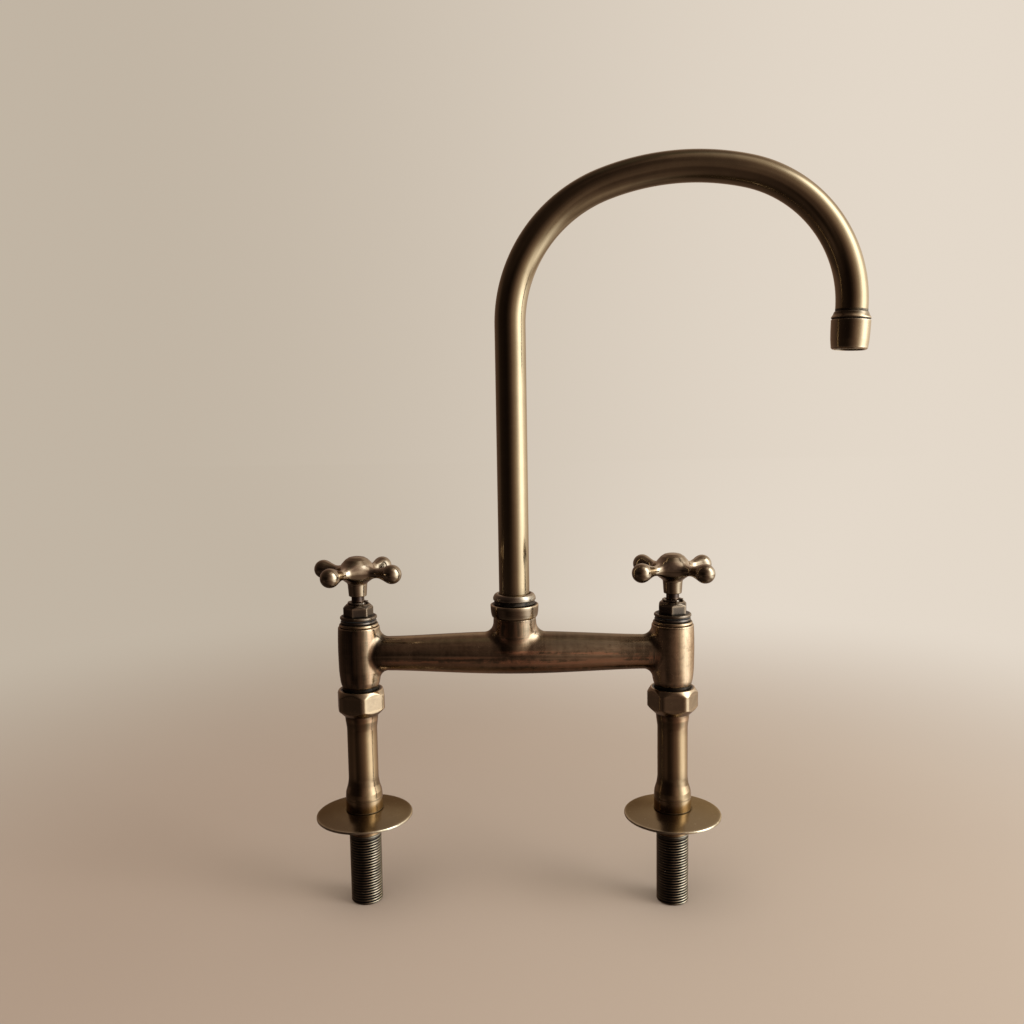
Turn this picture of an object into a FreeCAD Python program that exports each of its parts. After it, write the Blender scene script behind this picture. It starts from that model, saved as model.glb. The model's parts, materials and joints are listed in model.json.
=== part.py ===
import FreeCAD, Part
import math
import os
import re

import Sketcher

# Bridge kitchen faucet, millimetres.
# +Z is up, +X runs along the bridge, -Y is the side the user stands on.
# The origin lies midway between the two tails, on the plane of the deck:
# the underside of the two deck flanges.

V = FreeCAD.Vector
doc = FreeCAD.newDocument("bridge_kitchen_faucet")
sheet = doc.addObject("Spreadsheet::Sheet", "dims")

# ---------------------------------------------------------------- dimensions
# alias, value in mm (degrees where the alias ends in _deg)
TABLE = """
valve_x            101.6    half of the 8 inch valve centres
# tails: G1/2 threaded hollow shanks
tail_drop          58.0     below the deck plane
tail_plain         11.5     plain neck between the deck plane and the thread
tail_rise          16.0     above the deck plane, inside the leg
tail_r             10.478   crest radius of G1/2
tail_neck_r        10.25
tail_bore_r        6.5
tail_chamfer       1.2
thread_pitch       1.814
thread_depth       1.162
thread_first       2.2      first groove above the tail's end
thread_mouth       1.45     width of a groove at the crests
thread_root        0.25     width of a groove at its root
thread_turns       24
# deck flanges: shallow spun discs
flange_r           31.5
flange_hole_r      10.7
flange_sheet       1.4
flange_height      4.6
flange_flat_r      12.8     level seat for the leg
flange_foot_r      29.4     inner edge of the rim's flat underside
flange_edge        0.45
flange_rim         1.5      height of the rim
flange_crown_r     78.0     radius of the dished skin
# legs
foot_r             12.0
foot_height        9.2
leg_r              9.8
leg_bell_r         10.55
leg_bell           60.8     height of the flared end above the foot
leg_neck_r         10.7
leg_collar_r       11.7
leg_collar_low     68.9     collar's underside above the foot
leg_height         71.8
leg_bore_r         6.5
leg_socket_r       10.6
leg_socket         11.4     depth of the tail's socket
# union nuts and washers
nut_low            69.2
nut_height         16.8
nut_flats          29.5
nut_r              16.3     turned corners
nut_bore_r         12.0
nut_lip_r          10.85
nut_lip            4.3
left_nut_deg       45.5
right_nut_deg      57.0
washer_low         76.4
washer_height      2.0
washer_r           11.5
# bridge casting
bridge_z           109.3    axis of the bridge tube
valve_low          78.4     lower end of the spigots
spigot_r           11.7
spigot_height      9.6
valve_foot_r       12.3
valve_mid_r        13.55
valve_mid          17.6     upper end of the flared foot above the spigot's end
valve_rim_r        13.4
valve_height       49.1
valve_side_r       330.0    radius of the barrel-shaped side
pocket_r           10.6
pocket_low         23.1     floor of the valve pocket above the spigot's end
inlet_r            6.0
beam_end_r         10.75
beam_mid_r         13.65
beam_reach         98.0
beam_side_r        6000.0
beam_bore_r        5.5
hub_r              13.7
hub_top            132.8
hub_low_r          13.3
hub_waist_r        14.3
hub_waist          12.5     widest part of the neck above the bridge's axis
hub_stub_r         13.0
hub_stub_top       138.0
hub_bore_r         11.1
hub_bore_floor     118.0
hub_feed_r         8.0
valve_fillet       5.5
hub_fillet         4.5
# collar nut and split ring
collar_low         132.8
collar_foot_r      13.9
collar_r           15.5
collar_height      8.6
collar_bore_r      13.15
collar_lip         1.9
collar_lip_r       11.4
ring_r             12.9
ring_bore_r        10.55
ring_height        1.5
# spout ferrule
ferrule_low        118.3
shank_r            11.05
cap_low            23.6     underside of the cap above the shank's end
cap_height         6.6
cap_wall           3.1
cap_r              13.85
cap_top_r          10.9
cap_round          3.6
ferrule_bore_r     8.0
ferrule_socket     23.2     floor of the tube's socket
ferrule_socket_r   9.85
seal_groove_r      9.8
seal_groove        2.0
seal_one           4.0      lower groove
seal_two           9.0      upper groove
catch_groove_r     10.2
catch_low          19.4
catch_groove       2.1
seal_ring_r        10.43
seal_cord_r        0.6
# spout tube
tube_r             9.8
tube_bore_r        8.3
tube_foot          141.5
rise_top           318.5
bend_one_r         90.0
bend_one_deg       70.0
bend_two_r         158.0
bend_two_deg       32.5
bend_three_r       82.0
bend_three_deg     80.0
tube_end           8.6      straight end inside the outlet collar
# outlet collar and aerator, measured along their own axis
outlet_top         2.5      collar's top below the end of the last bend
outlet_collar_h    10.6
outlet_stub_h      6.2
outlet_stub_r      10.55
outlet_r           11.9
outlet_top_r       10.05
outlet_socket      4.5
outlet_flare_r     5.2
housing_h          18.9
housing_low_r      10.8
housing_mid_r      11.65
housing_mid        6.3
housing_lip        1.2
housing_lip_r      9.2
housing_bore_r     10.7
housing_wall_r     90.0
insert_r           10.5
insert_body_r      9.0
insert_h           9.5
insert_rim         1.6
insert_web         3.2
insert_hole_r      0.75
insert_pitch       2.6
gasket_r           10.5
gasket_bore_r      8.3
gasket_h           2.0
# cartridges
cart_low           103.5
cart_barrel_r      10.0
cart_thread_r      10.2
cart_thread        15.0
cart_flange_r      11.9
cart_flange        29.0
cart_flange_h      2.0
cart_height        38.8
cart_hex_r         9.7
cart_flats         17.0
cart_edge          2.2
cart_top_r         7.4
cart_chamber_r     8.6
cart_chamber       14.5
cart_guide_r       6.3
cart_guide         21.5
cart_bore_r        4.2
window_low         7.0
window_high        13.5
window_half        4.5
left_hex_deg       15.0
right_hex_deg      19.0
# rings under the cartridge flange
bonnet_low         127.5
bonnet_height      2.3
bonnet_r           12.05
bonnet_bead_r      1.32
ring_inner_r       10.6
lock_low           129.8
lock_height        2.0
lock_r             11.6
lock_round_r       1.6
bonnet_seal_z      132.15
bonnet_seal_r      10.96
bonnet_seal_cord_r 0.34
# ceramic discs and seat
seat_low           101.5
seat_height        2.0
seat_r             9.8
seat_bore_r        6.2
disc_r             8.4
disc_height        3.4
port_r             2.3
port_reach         4.6
moving_low         107.0
moving_r           8.2
moving_height      3.2
slot_depth         1.5
slot_half_x        1.2
slot_half_y        1.8
slot_reach         5.6
# spindles
spindle_low        110.2
spindle_plate_r    7.8
spindle_plate      2.8
spindle_waist_r    5.0
spindle_step       8.8
spindle_step_r     5.8
spindle_step_top   14.5
spindle_r          4.15
spindle_height     49.6
clip_groove_low    32.1
clip_groove        1.5
clip_groove_r      3.4
o_groove_low       20.6
o_groove           1.7
o_groove_r         3.1
flat_y             3.4
flat_low           36.2
lug_depth          1.3
lug_half_x         1.0
lug_half_y         1.6
spindle_seal_z     131.65
spindle_seal_r     3.64
spindle_seal_cord_r 0.5
clip_low           142.5
clip_height        1.15
clip_r             6.95
clip_bore_r        3.45
clip_span_deg      300.0
# cross handles
handle_low         147.3
skirt_r            5.9
skirt_mid_r        6.3
skirt_mid          6.4
belly              10.4
belly_r            7.3
hub_side_r         9.9
hub_side           15.0
hub_shoulder       19.6
hub_shoulder_r     9.6
crown              24.8
crown_r            6.1
crown_top_r        4.2
handle_height      25.9
socket_r           4.2
socket_top         13.7
arm_z              15.9
arm_reach          27.5
ball_r             6.05
arm_neck           15.5
arm_neck_r         2.6
arm_curve_r        16.54
arm_ball_x         24.286
arm_ball_r         5.127
arm_root_x         8.6
arm_root_r         4.782
arm_root_curve_r   12.0
arm_swing_deg      45.0
left_turn_deg      18.5
right_turn_deg     -6.4
screw_z            3.3
screw_r            2.0
screw_hole_r       2.05
screw_start        3.45
screw_end          5.75
screw_key_r        1.05
screw_key          4.4
"""

DIM = {}
row = 1
sheet.set("A1", "dimension")
sheet.set("B1", "value")
for line in TABLE.strip().splitlines():
    if line.startswith("#"):
        row += 1
        sheet.set("A%d" % row, line[1:].strip())
        continue
    words = line.split(None, 2)
    row += 1
    sheet.set("A%d" % row, words[0])
    sheet.set("B%d" % row, words[1])
    sheet.setAlias("B%d" % row, words[0])
    if len(words) > 2:
        sheet.set("C%d" % row, words[2])
    DIM[words[0]] = float(words[1])


def cell(name, value):
    """one more cell, for a place that follows from the others"""
    global row
    row += 1
    sheet.set("A%d" % row, name)
    sheet.set("B%d" % row, "%.6f" % value)
    sheet.setAlias("B%d" % row, name)
    DIM[name] = round(value, 6)


WORD = r"[A-Za-z_]\w*|\d+\.?\d*|[-+*/]"


def worth(text):
    """number that a sum of products of aliases and numbers comes to"""
    total, sign, product, op = 0.0, 1.0, None, "*"
    for tok in re.findall(WORD, text):
        if tok in "+-":
            if product is not None:
                total += sign * product
            product, op = None, "*"
            sign = 1.0 if tok == "+" else -1.0
        elif tok in "*/":
            op = tok
        else:
            value = DIM[tok] if tok in DIM else float(tok)
            if product is None:
                product = value
            elif op == "*":
                product *= value
            else:
                product /= value
    return total + sign * (product or 0.0)


def bound(text):
    """the same sum as an expression on the sheet's cells"""
    return re.sub(r"[A-Za-z_]\w*", lambda m: "dims." + m.group(0), text)


# ------------------------------------------------------------------- helpers
PIECES = []


def place(obj, at, turn=None, axis=(0, 0, 1)):
    """Placement bound to the sheet"""
    obj.Placement = FreeCAD.Placement(V(*[worth(a) for a in at]),
                                      FreeCAD.Rotation(V(*axis), worth(turn) if turn else 0.0))
    for letter, text in zip("xyz", at):
        if text != "0":
            obj.setExpression("Placement.Base." + letter, bound(text))
    if turn:
        obj.setExpression("Placement.Rotation.Angle", bound(turn))


def new_body(label, at=("0", "0", "0"), turn=None, axis=(0, 0, 1)):
    obj = doc.addObject("PartDesign::Body", label)
    obj.Label = label
    place(obj, at, turn, axis)
    PIECES.append(obj)
    return obj


def new_sketch(body, name, plane="XZ_Plane", lift=None, swing=None):
    sk = body.newObject("Sketcher::SketchObject", name)
    support = [o for o in body.Origin.OriginFeatures if o.Role == plane][0]
    sk.AttachmentSupport = [(support, "")]
    sk.MapMode = "FlatFace"
    if lift:
        sk.AttachmentOffset = FreeCAD.Placement(V(0, 0, worth(lift)), FreeCAD.Rotation())
        sk.setExpression("AttachmentOffset.Base.z", bound(lift))
    if swing:
        sk.AttachmentOffset = FreeCAD.Placement(V(0, 0, 0),
                                                FreeCAD.Rotation(V(0, 1, 0), worth(swing)))
        sk.setExpression("AttachmentOffset.Rotation.Angle", bound(swing))
    return sk


def constrain(sk, todo):
    """add constraints and bind the sized ones"""
    done = sk.addConstraint([c for c, text in todo])
    for index, (c, text) in zip(done, todo):
        if text:
            sk.setExpression("Constraints[%d]" % index, bound(text))


def fix_point(todo, geo, pos, x_text, y_text):
    for letter, text, axis in (("X", x_text, -2), ("Y", y_text, -1)):
        value = worth(text)
        if abs(value) < 1e-9:
            todo.append((Sketcher.Constraint("PointOnObject", geo, pos, axis), None))
        else:
            todo.append((Sketcher.Constraint("Distance" + letter, -1, 1, geo, pos, value), text))


def arc_between(a, c, radius, side):
    """minor arc from a to c that bulges to the left (+1) or right (-1) of the way"""
    d = c - a
    length = d.Length
    rise = math.sqrt(max(radius * radius - length * length / 4.0, 0.0))
    normal = V(-d.y, d.x, 0) / length
    centre = (a + c) / 2.0 - normal * (side * rise)
    ang_a = math.atan2(a.y - centre.y, a.x - centre.x)
    ang_c = math.atan2(c.y - centre.y, c.x - centre.x)
    circle = Part.Circle(centre, V(0, 0, 1), radius)
    if side > 0:
        return Part.ArcOfCircle(circle, ang_c, ang_a), 2, 1
    return Part.ArcOfCircle(circle, ang_a, ang_c), 1, 2


def outline(sk, points):
    """closed outline through the points; a point with a radius and a side
    starts an arc, any other a straight run"""
    n = len(points)
    spots = [V(worth(p[0]), worth(p[1]), 0) for p in points]
    ends = []
    todo = []
    for i, p in enumerate(points):
        a, c = spots[i], spots[(i + 1) % n]
        if len(p) > 2:
            geo, first, last = arc_between(a, c, worth(p[2]), p[3])
            g = sk.addGeometry(geo, False)
            todo.append((Sketcher.Constraint("Radius", g, worth(p[2])), p[2]))
        else:
            g = sk.addGeometry(Part.LineSegment(a, c), False)
            first, last = 1, 2
        ends.append((g, first, last))
    for i in range(n):
        g, first, last = ends[i]
        h, nfirst, nlast = ends[(i + 1) % n]
        todo.insert(0, (Sketcher.Constraint("Coincident", g, last, h, nfirst), None))
        fix_point(todo, g, first, points[i][0], points[i][1])
    constrain(sk, todo)


def level_axis(sk, height):
    """construction line along the sketch's first direction, as a turning axis"""
    value = worth(height)
    g = sk.addGeometry(Part.LineSegment(V(1, value, 0), V(31, value, 0)), True)
    constrain(sk, [(Sketcher.Constraint("Horizontal", g), None),
                   (Sketcher.Constraint("DistanceX", -1, 1, g, 1, 1.0), None),
                   (Sketcher.Constraint("DistanceX", -1, 1, g, 2, 31.0), None),
                   (Sketcher.Constraint("DistanceY", -1, 1, g, 1, value), height)])


def upright_axis(sk, reach):
    """construction line along the sketch's second direction, as a turning axis"""
    value = worth(reach)
    g = sk.addGeometry(Part.LineSegment(V(value, 1, 0), V(value, 31, 0)), True)
    constrain(sk, [(Sketcher.Constraint("Vertical", g), None),
                   (Sketcher.Constraint("DistanceY", -1, 1, g, 1, 1.0), None),
                   (Sketcher.Constraint("DistanceY", -1, 1, g, 2, 31.0), None),
                   (Sketcher.Constraint("DistanceX", -1, 1, g, 1, value), reach)])


def turned(body, name, points, cut=False, axis=None, reach=None, span=None, swing=None):
    """a solid or a cut of revolution about Z, about a level line at height
    axis, or about an upright line at reach"""
    sk = new_sketch(body, name + "_outline", swing=swing)
    if axis:
        level_axis(sk, axis)
    if reach:
        upright_axis(sk, reach)
    outline(sk, points)
    feature = body.newObject("PartDesign::Groove" if cut else "PartDesign::Revolution", name)
    feature.Profile = sk
    feature.ReferenceAxis = (sk, ["Axis0" if (axis or reach) else "V_Axis"])
    feature.Angle = 360.0
    if span:
        feature.setExpression("Angle", bound(span))
    sk.Visibility = False
    return feature


def prism(body, name, points, plane="XY_Plane", lift=None, depth=None, cut=False,
          both=False, back=False):
    """a pad or a pocket of a closed outline"""
    sk = new_sketch(body, name + "_outline", plane, lift=lift)
    outline(sk, points)
    return prism_of(body, name, sk, depth, cut, both, back)


def prism_of(body, name, sk, depth, cut=False, both=False, back=False):
    feature = body.newObject("PartDesign::Pocket" if cut else "PartDesign::Pad", name)
    feature.Profile = sk
    feature.Type = "Length"
    feature.Length = worth(depth)
    feature.setExpression("Length", bound(depth))
    feature.SideType = "Symmetric" if both else "One side"
    feature.Reversed = back
    sk.Visibility = False
    return feature


def around_hexagon(body, name, flats, angle, outer, lift=None):
    """area between a hexagon and a circle outside it"""
    sk = new_sketch(body, name + "_outline", "XY_Plane", lift=lift)
    corner = worth(flats + " / 1.7320508")
    start = math.radians(worth(angle))
    tip = [V(corner * math.cos(start + k * math.pi / 3), corner * math.sin(start + k * math.pi / 3), 0)
           for k in range(6)]
    sides = [sk.addGeometry(Part.LineSegment(tip[k], tip[(k + 1) % 6]), False) for k in range(6)]
    big = sk.addGeometry(Part.Circle(V(0, 0, 0), V(0, 0, 1), worth(outer)), False)
    guide = sk.addGeometry(Part.Circle(V(0, 0, 0), V(0, 0, 1), corner), True)
    spoke = sk.addGeometry(Part.LineSegment(V(0, 0, 0), tip[0]), True)
    todo = [(Sketcher.Constraint("Coincident", sides[k], 2, sides[(k + 1) % 6], 1), None)
            for k in range(6)]
    todo += [(Sketcher.Constraint("PointOnObject", sides[k], 1, guide), None) for k in range(6)]
    todo += [(Sketcher.Constraint("Equal", sides[0], sides[k]), None) for k in range(1, 5)]
    todo += [(Sketcher.Constraint("Coincident", big, 3, -1, 1), None),
             (Sketcher.Constraint("Coincident", guide, 3, -1, 1), None),
             (Sketcher.Constraint("Coincident", spoke, 1, -1, 1), None),
             (Sketcher.Constraint("Coincident", spoke, 2, sides[0], 1), None),
             (Sketcher.Constraint("Radius", big, worth(outer)), outer),
             (Sketcher.Constraint("Radius", guide, corner), flats + " / 1.7320508"),
             (Sketcher.Constraint("Angle", spoke, start), angle)]
    constrain(sk, todo)
    return sk


def plane_of(body, role):
    return [o for o in body.Origin.OriginFeatures if o.Role == role][0]


def o_ring(label, ring_r, cord_r, at):
    obj = doc.addObject("Part::Torus", label)
    obj.Label = label
    obj.Radius1 = worth(ring_r)
    obj.Radius2 = worth(cord_r)
    obj.setExpression("Radius1", bound(ring_r))
    obj.setExpression("Radius2", bound(cord_r))
    place(obj, at)
    PIECES.append(obj)
    return obj


def lessen(body, feature_before, what):
    """a cut has to take something away"""
    if not feature_before > what + 1e-3:
        raise RuntimeError(body.Label + ": a cut removed nothing")


# ------------------------------------------------- pieces that come in pairs
for side, sign in (("left", "-"), ("right", "")):
    axis_x = sign + "valve_x"

    # Tail: hollow shank with a parallel thread, bored through. Each turn of
    # the thread is a V groove with a small flat root.
    tail = new_body(side + "_tail", (axis_x, "0", "-tail_drop"))
    turned(tail, side + "_tail_blank", [
        ("tail_bore_r", "0"),
        ("tail_r - tail_chamfer", "0"),
        ("tail_r", "tail_chamfer"),
        ("tail_r", "tail_drop - tail_plain"),
        ("tail_neck_r", "tail_drop - tail_plain"),
        ("tail_neck_r", "tail_drop + tail_rise"),
        ("tail_bore_r", "tail_drop + tail_rise")])
    groove = turned(tail, side + "_tail_thread", [
        ("tail_r - thread_depth", "thread_first - 0.5 * thread_root"),
        ("tail_r + 0.2", "thread_first - 0.5 * thread_mouth"),
        ("tail_r + 0.2", "thread_first + 0.5 * thread_mouth"),
        ("tail_r - thread_depth", "thread_first + 0.5 * thread_root")], cut=True)
    turns = tail.newObject("PartDesign::LinearPattern", side + "_tail_turns")
    turns.Originals = [groove]
    turns.Direction = (plane_of(tail, "Z_Axis"), [""])
    turns.Mode = "Spacing"
    turns.Occurrences = int(worth("thread_turns"))
    turns.setExpression("Occurrences", bound("thread_turns"))
    turns.Offset = worth("thread_pitch")
    turns.setExpression("Offset", bound("thread_pitch"))
    tail.Tip = turns

    # Deck flange: dished disc with a level seat round its hole and a flat,
    # rounded rim that lies on the deck.
    flange = new_body(side + "_flange", (axis_x, "0", "0"))
    turned(flange, side + "_flange_disc", [
        ("flange_hole_r", "flange_height - flange_sheet"),
        ("flange_flat_r - 0.3", "flange_height - flange_sheet", "flange_crown_r - flange_sheet", 1),
        ("flange_foot_r", "0"),
        ("flange_r - flange_edge", "0", "flange_edge", -1),
        ("flange_r", "flange_edge"),
        ("flange_r", "flange_rim - flange_edge - 0.1", "flange_edge + 0.1", -1),
        ("flange_r - flange_edge - 0.1", "flange_rim", "flange_crown_r", -1),
        ("flange_flat_r", "flange_height"),
        ("flange_hole_r", "flange_height")])

    # Leg: pillar tube with a wide foot that takes the tail, and a collar at
    # its top that the union nut pulls on.
    leg = new_body(side + "_leg", (axis_x, "0", "flange_height"))
    turned(leg, side + "_leg_turning", [
        ("leg_socket_r", "0"),
        ("foot_r - 0.3", "0"),
        ("foot_r", "0.3"),
        ("foot_r", "foot_height"),
        ("foot_r - 0.2", "foot_height + 2.4"),
        ("foot_r - 0.65", "foot_height + 5.0", "9.0", -1),
        ("leg_r + 0.55", "foot_height + 8.0"),
        ("leg_r + 0.1", "foot_height + 10.2", "9.0", 1),
        ("leg_r", "foot_height + 12.4"),
        ("leg_r", "leg_bell - 5.4"),
        ("leg_r + 0.2", "leg_bell - 3.0"),
        ("leg_bell_r", "leg_bell"),
        ("leg_neck_r", "leg_bell + 1.8"),
        ("leg_neck_r", "leg_collar_low"),
        ("leg_collar_r", "leg_collar_low"),
        ("leg_collar_r", "leg_height"),
        ("leg_bore_r", "leg_height"),
        ("leg_bore_r", "leg_socket"),
        ("leg_socket_r", "leg_socket")])

    # Union nut: hexagon with turned corners and a lip that holds the leg's
    # collar.
    nut = new_body(side + "_union_nut", (axis_x, "0", "nut_low"))
    turned(nut, side + "_nut_turning", [
        ("nut_lip_r", "0"),
        ("nut_lip_r + 0.9", "0"),
        ("nut_r - 2.6", "0.9"),
        ("nut_r", "4.2"),
        ("nut_r", "nut_height - 3.0"),
        ("nut_r - 1.9", "nut_height"),
        ("nut_bore_r", "nut_height"),
        ("nut_bore_r", "nut_lip"),
        ("nut_lip_r", "nut_lip")])
    ring = around_hexagon(nut, side + "_nut_flats", "nut_flats", side + "_nut_deg", "nut_r + 4")
    prism_of(nut, side + "_nut_hexagon", ring, "nut_height * 2.2", cut=True, both=True)

    # Union washer between the leg's collar and the spigot.
    washer = new_body(side + "_union_washer", (axis_x, "0", "washer_low"))
    turned(washer, side + "_washer_ring", [
        ("leg_bore_r", "0"), ("washer_r", "0"),
        ("washer_r", "washer_height"), ("leg_bore_r", "washer_height")])

    # Beaded ring on the valve body's rim.
    bonnet = new_body(side + "_bonnet_ring", (axis_x, "0", "bonnet_low"))
    turned(bonnet, side + "_bonnet_bead", [
        ("ring_inner_r", "0"),
        ("bonnet_r", "0", "bonnet_bead_r", -1),
        ("bonnet_r", "bonnet_height"),
        ("ring_inner_r", "bonnet_height")])

    # Thin ring above it.
    lock = new_body(side + "_lock_ring", (axis_x, "0", "lock_low"))
    turned(lock, side + "_lock_band", [
        ("ring_inner_r", "0"),
        ("lock_r - 0.35", "0"),
        ("lock_r - 0.35", "0.15", "lock_round_r", -1),
        ("lock_r - 0.35", "lock_height - 0.15"),
        ("lock_r - 0.35", "lock_height"),
        ("ring_inner_r", "lock_height")])

    # Cartridge body: barrel with two side windows, screwed neck, flange and
    # hexagon, bored for the spindle.
    cart = new_body(side + "_cartridge", (axis_x, "0", "cart_low"))
    turned(cart, side + "_cartridge_turning", [
        ("cart_chamber_r", "0"),
        ("cart_barrel_r", "0"),
        ("cart_barrel_r", "cart_thread"),
        ("cart_thread_r", "cart_thread + 0.4"),
        ("cart_thread_r", "cart_flange"),
        ("cart_flange_r - 0.3", "cart_flange"),
        ("cart_flange_r", "cart_flange + 0.3"),
        ("cart_flange_r", "cart_flange + cart_flange_h - 0.4"),
        ("cart_flange_r - 0.4", "cart_flange + cart_flange_h"),
        ("cart_hex_r", "cart_flange + cart_flange_h"),
        ("cart_hex_r", "cart_height - cart_edge"),
        ("cart_top_r", "cart_height"),
        ("cart_bore_r", "cart_height"),
        ("cart_bore_r", "cart_guide"),
        ("cart_guide_r", "cart_guide"),
        ("cart_guide_r", "cart_chamber"),
        ("cart_chamber_r", "cart_chamber")])
    ring = around_hexagon(cart, side + "_cartridge_flats", "cart_flats", side + "_hex_deg",
                          "cart_flange_r + 3", lift="cart_flange + cart_flange_h")
    prism_of(cart, side + "_cartridge_hexagon", ring, "cart_height", cut=True, back=True)
    prism(cart, side + "_cartridge_windows", [
        ("-window_half", "window_low"), ("window_half", "window_low"),
        ("window_half", "window_high"), ("-window_half", "window_high")],
        plane="YZ_Plane", depth="cart_barrel_r * 3", cut=True, both=True)

    o_ring(side + "_bonnet_seal", "bonnet_seal_r", "bonnet_seal_cord_r",
           (axis_x, "0", "bonnet_seal_z"))

    # Rubber seat under the ceramic discs.
    seat = new_body(side + "_seat_seal", (axis_x, "0", "seat_low"))
    turned(seat, side + "_seat_ring", [
        ("seat_bore_r", "0"), ("seat_r", "0"),
        ("seat_r", "seat_height"), ("seat_bore_r", "seat_height")])

    # Fixed ceramic disc with two ports along X.
    disc = new_body(side + "_fixed_disc", (axis_x, "0", "cart_low"))
    turned(disc, side + "_fixed_blank", [
        ("0", "0"), ("disc_r", "0"), ("disc_r", "disc_height"), ("0", "disc_height")])
    for k, way in (("a", ""), ("b", "-")):
        sk = new_sketch(disc, side + "_fixed_port_%s_outline" % k, "XY_Plane")
        g = sk.addGeometry(Part.Circle(V(worth(way + "port_reach"), 0, 0), V(0, 0, 1),
                                       worth("port_r")), False)
        constrain(sk, [(Sketcher.Constraint("PointOnObject", g, 3, -1), None),
                       (Sketcher.Constraint("DistanceX", -1, 1, g, 3, worth(way + "port_reach")),
                        way + "port_reach"),
                       (Sketcher.Constraint("Radius", g, worth("port_r")), "port_r")])
        prism_of(disc, side + "_fixed_port_" + k, sk, "disc_height * 3", cut=True, both=True)

    # Moving ceramic disc: two ports along Y, closed at rest, and two slots on
    # its top for the spindle's lugs.
    turn = side + "_turn_deg"
    moving = new_body(side + "_moving_disc", (axis_x, "0", "moving_low"), turn)
    turned(moving, side + "_moving_blank", [
        ("0", "0"), ("moving_r", "0"), ("moving_r", "moving_height"), ("0", "moving_height")])
    for k, way in (("a", ""), ("b", "-")):
        sk = new_sketch(moving, side + "_moving_port_%s_outline" % k, "XY_Plane")
        g = sk.addGeometry(Part.Circle(V(0, worth(way + "port_reach"), 0), V(0, 0, 1),
                                       worth("port_r")), False)
        constrain(sk, [(Sketcher.Constraint("PointOnObject", g, 3, -2), None),
                       (Sketcher.Constraint("DistanceY", -1, 1, g, 3, worth(way + "port_reach")),
                        way + "port_reach"),
                       (Sketcher.Constraint("Radius", g, worth("port_r")), "port_r")])
        prism_of(moving, side + "_moving_port_" + k, sk, "moving_height * 3", cut=True, both=True)
        prism(moving, side + "_moving_slot_" + k, [
            (way + "slot_reach - slot_half_x", "-slot_half_y"),
            (way + "slot_reach + slot_half_x", "-slot_half_y"),
            (way + "slot_reach + slot_half_x", "slot_half_y"),
            (way + "slot_reach - slot_half_x", "slot_half_y")],
            lift="moving_height - slot_depth", depth="moving_height", cut=True, back=True)

    # Spindle: drive plate with two lugs, guide shoulder, O-ring groove, clip
    # groove, and a flat for the handle's screw.
    spindle = new_body(side + "_spindle", (axis_x, "0", "spindle_low"), turn)
    turned(spindle, side + "_spindle_turning", [
        ("0", "0"),
        ("spindle_plate_r", "0"),
        ("spindle_plate_r", "spindle_plate"),
        ("spindle_waist_r", "spindle_plate"),
        ("spindle_waist_r", "spindle_step"),
        ("spindle_step_r", "spindle_step"),
        ("spindle_step_r", "spindle_step_top"),
        ("spindle_r", "spindle_step_top"),
        ("spindle_r", "o_groove_low"),
        ("o_groove_r", "o_groove_low"),
        ("o_groove_r", "o_groove_low + o_groove"),
        ("spindle_r", "o_groove_low + o_groove"),
        ("spindle_r", "clip_groove_low"),
        ("clip_groove_r", "clip_groove_low"),
        ("clip_groove_r", "clip_groove_low + clip_groove"),
        ("spindle_r", "clip_groove_low + clip_groove"),
        ("spindle_r", "spindle_height - 0.5"),
        ("spindle_r - 0.5", "spindle_height"),
        ("0", "spindle_height")])
    for k, way in (("a", ""), ("b", "-")):
        prism(spindle, side + "_spindle_lug_" + k, [
            (way + "slot_reach - lug_half_x", "-lug_half_y"),
            (way + "slot_reach + lug_half_x", "-lug_half_y"),
            (way + "slot_reach + lug_half_x", "lug_half_y"),
            (way + "slot_reach - lug_half_x", "lug_half_y")],
            lift="-lug_depth", depth="lug_depth + 0.5")
    prism(spindle, side + "_spindle_flat", [
        ("-spindle_r - 1", "flat_y"), ("spindle_r + 1", "flat_y"),
        ("spindle_r + 1", "spindle_r + 1"), ("-spindle_r - 1", "spindle_r + 1")],
        lift="flat_low", depth="spindle_height", cut=True, back=True)

    # Open clip that keeps the spindle in the cartridge.
    clip = new_body(side + "_spindle_clip", (axis_x, "0", "clip_low"), turn)
    turned(clip, side + "_clip_ring", [
        ("clip_bore_r", "0"), ("clip_r", "0"),
        ("clip_r", "clip_height"), ("clip_bore_r", "clip_height")], span="clip_span_deg")

    o_ring(side + "_spindle_seal", "spindle_seal_r", "spindle_seal_cord_r",
           (axis_x, "0", "spindle_seal_z"))

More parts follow.
